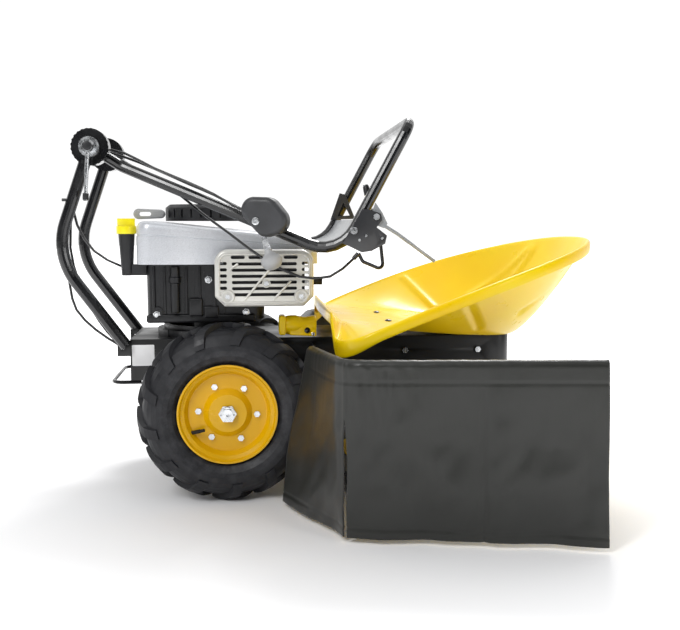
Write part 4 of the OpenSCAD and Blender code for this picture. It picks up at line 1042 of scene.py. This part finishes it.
# ---- engine side: ribs, a dipstick tube, two housings, a foot flange and bolts, all on the right face ----
side = {
    "face": -112,
    "ribLow": 60,
    "ribHigh": 170,
    "ribCorner": 1.5,
    # where each rib is, its half-width and how far it stands out
    "ribs": ((-172, 3, 5), (-146, 2.4, 4), (-96, 3.2, 6), (-64, 2.6, 5), (-30, 3.2, 6), (-8, 2.4, 4)),
    "tubeStart": (-122, -118, 62),
    "tubeProfile": ((0, 9), (2, 11), (70, 11), (72, 14), (84, 14), (86, 11), (108, 11), (110, 6)),
    # the housings and the foot flange: back, front, low, high, corner, inner face, outer face and edge
    "blocks": ((-86, -62, 58, 92, 4, -110, -126, 4), (-52, -24, 52, 74, 3, -110, -122, 3),
               (-184, 60, 44, 52, 6, -100, -120, 5)),
    "bolts": ((-166, 58), (44, 62), (16, 118), (-44, 140)),
    "boltProfile": ((0, 9), (6.5, 9), (6.6, 6.6), (12, 6.6), (13, 5), (13, 1)),
}


def fourCircles(x0, x1, z0, z1, r):
    return (x0, z0, r), (x1, z0, r), (x1, z1, r), (x0, z1, r)


ribs = []
for x, half, deep in side["ribs"]:
    r = side["ribCorner"]
    circles = fourCircles(x - half + r, x + half - r, side["ribLow"], side["ribHigh"], r)
    ribs.append(pillow("rib", circles, side["face"] + 6, side["face"] - deep, 1.4, fromAxle, 0, 24))
ribs.append(turned("tube", side["tubeStart"], (0, 0, 1), side["tubeProfile"]))
for *corners, inner, outer, edge in side["blocks"]:
    ribs.append(pillow("block", fourCircles(*corners), inner, outer, edge, fromAxle))
addPiece("blockRibs", joined("blockRibs", ribs), "castBlack", "chassis", 34)
heads = [turned("head", (x, side["face"], z), (0, -1, 0), side["boltProfile"], 6) for x, z in side["bolts"]]
addPiece("blockBolts", joined("blockBolts", heads), "zinc", "chassis", 30)
print("engine side dressed")


# ---- floor and studio light ----
studio = {
    "floor": (14, -8, 22),        # metres: half-width, near edge and far edge
    "glow": (0.5, 2.6, 0.9),      # where the floor's glow starts and ends, and how strong it gets
    "behind": 1.06,               # white wall behind the machine
    "above": 0.62,                # wide soft box overhead
    "front": 0.05,                # dark room behind the photographer
    "aim": (0, 0, 0.35),
    # each lamp's place, size and power
    "key": ((-1.7, -2.2, 2.4), (0.7, 1.5), 46),
    "fill": ((2.3, -2.6, 1.3), (0.8, 1.2), 14),
    "rim": ((0.9, 1.7, 2.9), (1.0, 0.8), 62),
}
half, near, far = studio["floor"]
floorCorners = [(-half, near, 0), (half, near, 0), (half, far, 0), (-half, far, 0)]
floorMesh = meshFrom("floor", floorCorners, [[0, 1, 2, 3]])
floor = bpy.data.objects.new("floor", floorMesh)
scene.collection.objects.link(floor)
floorLook, floorTree, floorShader, floorPlace = startMaterial("studioPaperWhite", 0.85)
shades(floorTree, floorShader, speckle(floorTree, floorPlace, 900, 2), 0.3, 0.7, "f6f6f7", "fbfbfc")
floorShader.inputs["Emission Color"].default_value = toLinear("ffffff")
# the paper glows more with distance, so it meets the white wall and keeps its shadow near the machine
floorPoint = addNode(floorTree, "ShaderNodeTexCoord").outputs["Object"]
away = addNode(floorTree, "ShaderNodeVectorMath", {"operation": "LENGTH"}, {0: floorPoint})
glowStart, glowEnd, glowMost = studio["glow"]
glow = addNode(floorTree, "ShaderNodeMapRange", {}, {"Value": away.outputs["Value"]},
               {"From Min": glowStart, "From Max": glowEnd, "To Min": 0.0, "To Max": glowMost})
floorTree.links.new(glow.outputs["Result"], floorShader.inputs["Emission Strength"])
floorMesh.materials.append(floorLook)

world = bpy.data.worlds.new("studio")
scene.world = world
world.use_nodes = True
worldTree = world.node_tree
worldTree.nodes["Background"].inputs["Color"].default_value = toLinear("ffffff")
direction = addNode(worldTree, "ShaderNodeTexCoord").outputs["Generated"]
split = addNode(worldTree, "ShaderNodeSeparateXYZ", links={"Vector": direction})
wall = addNode(worldTree, "ShaderNodeMapRange", {"interpolation_type": "SMOOTHSTEP"},
               {"Value": split.outputs["Y"]},
               {"From Min": -0.1, "From Max": 0.4, "To Min": studio["front"], "To Max": studio["behind"]})
ceiling = addNode(worldTree, "ShaderNodeMapRange", {"interpolation_type": "SMOOTHSTEP"},
                  {"Value": split.outputs["Z"]},
                  {"From Min": 0.5, "From Max": 0.78, "To Min": 0.0, "To Max": studio["above"]})
brighter = addNode(worldTree, "ShaderNodeMath", {"operation": "MAXIMUM"},
                   {0: wall.outputs["Result"], 1: ceiling.outputs["Result"]})
worldTree.links.new(brighter.outputs["Value"], worldTree.nodes["Background"].inputs["Strength"])
for name in ("key", "fill", "rim"):
    place, size, power = studio[name]
    lamp = bpy.data.lights.new(name, "AREA")
    lamp.shape = "RECTANGLE"
    lamp.size, lamp.size_y = size
    lamp.energy = power
    lampObject = bpy.data.objects.new(name, lamp)
    lampObject.location = place
    aim = Vector(studio["aim"]) - Vector(place)
    lampObject.rotation_euler = aim.to_track_quat("-Z", "Y").to_euler()
    scene.collection.objects.link(lampObject)
print("studio lit")
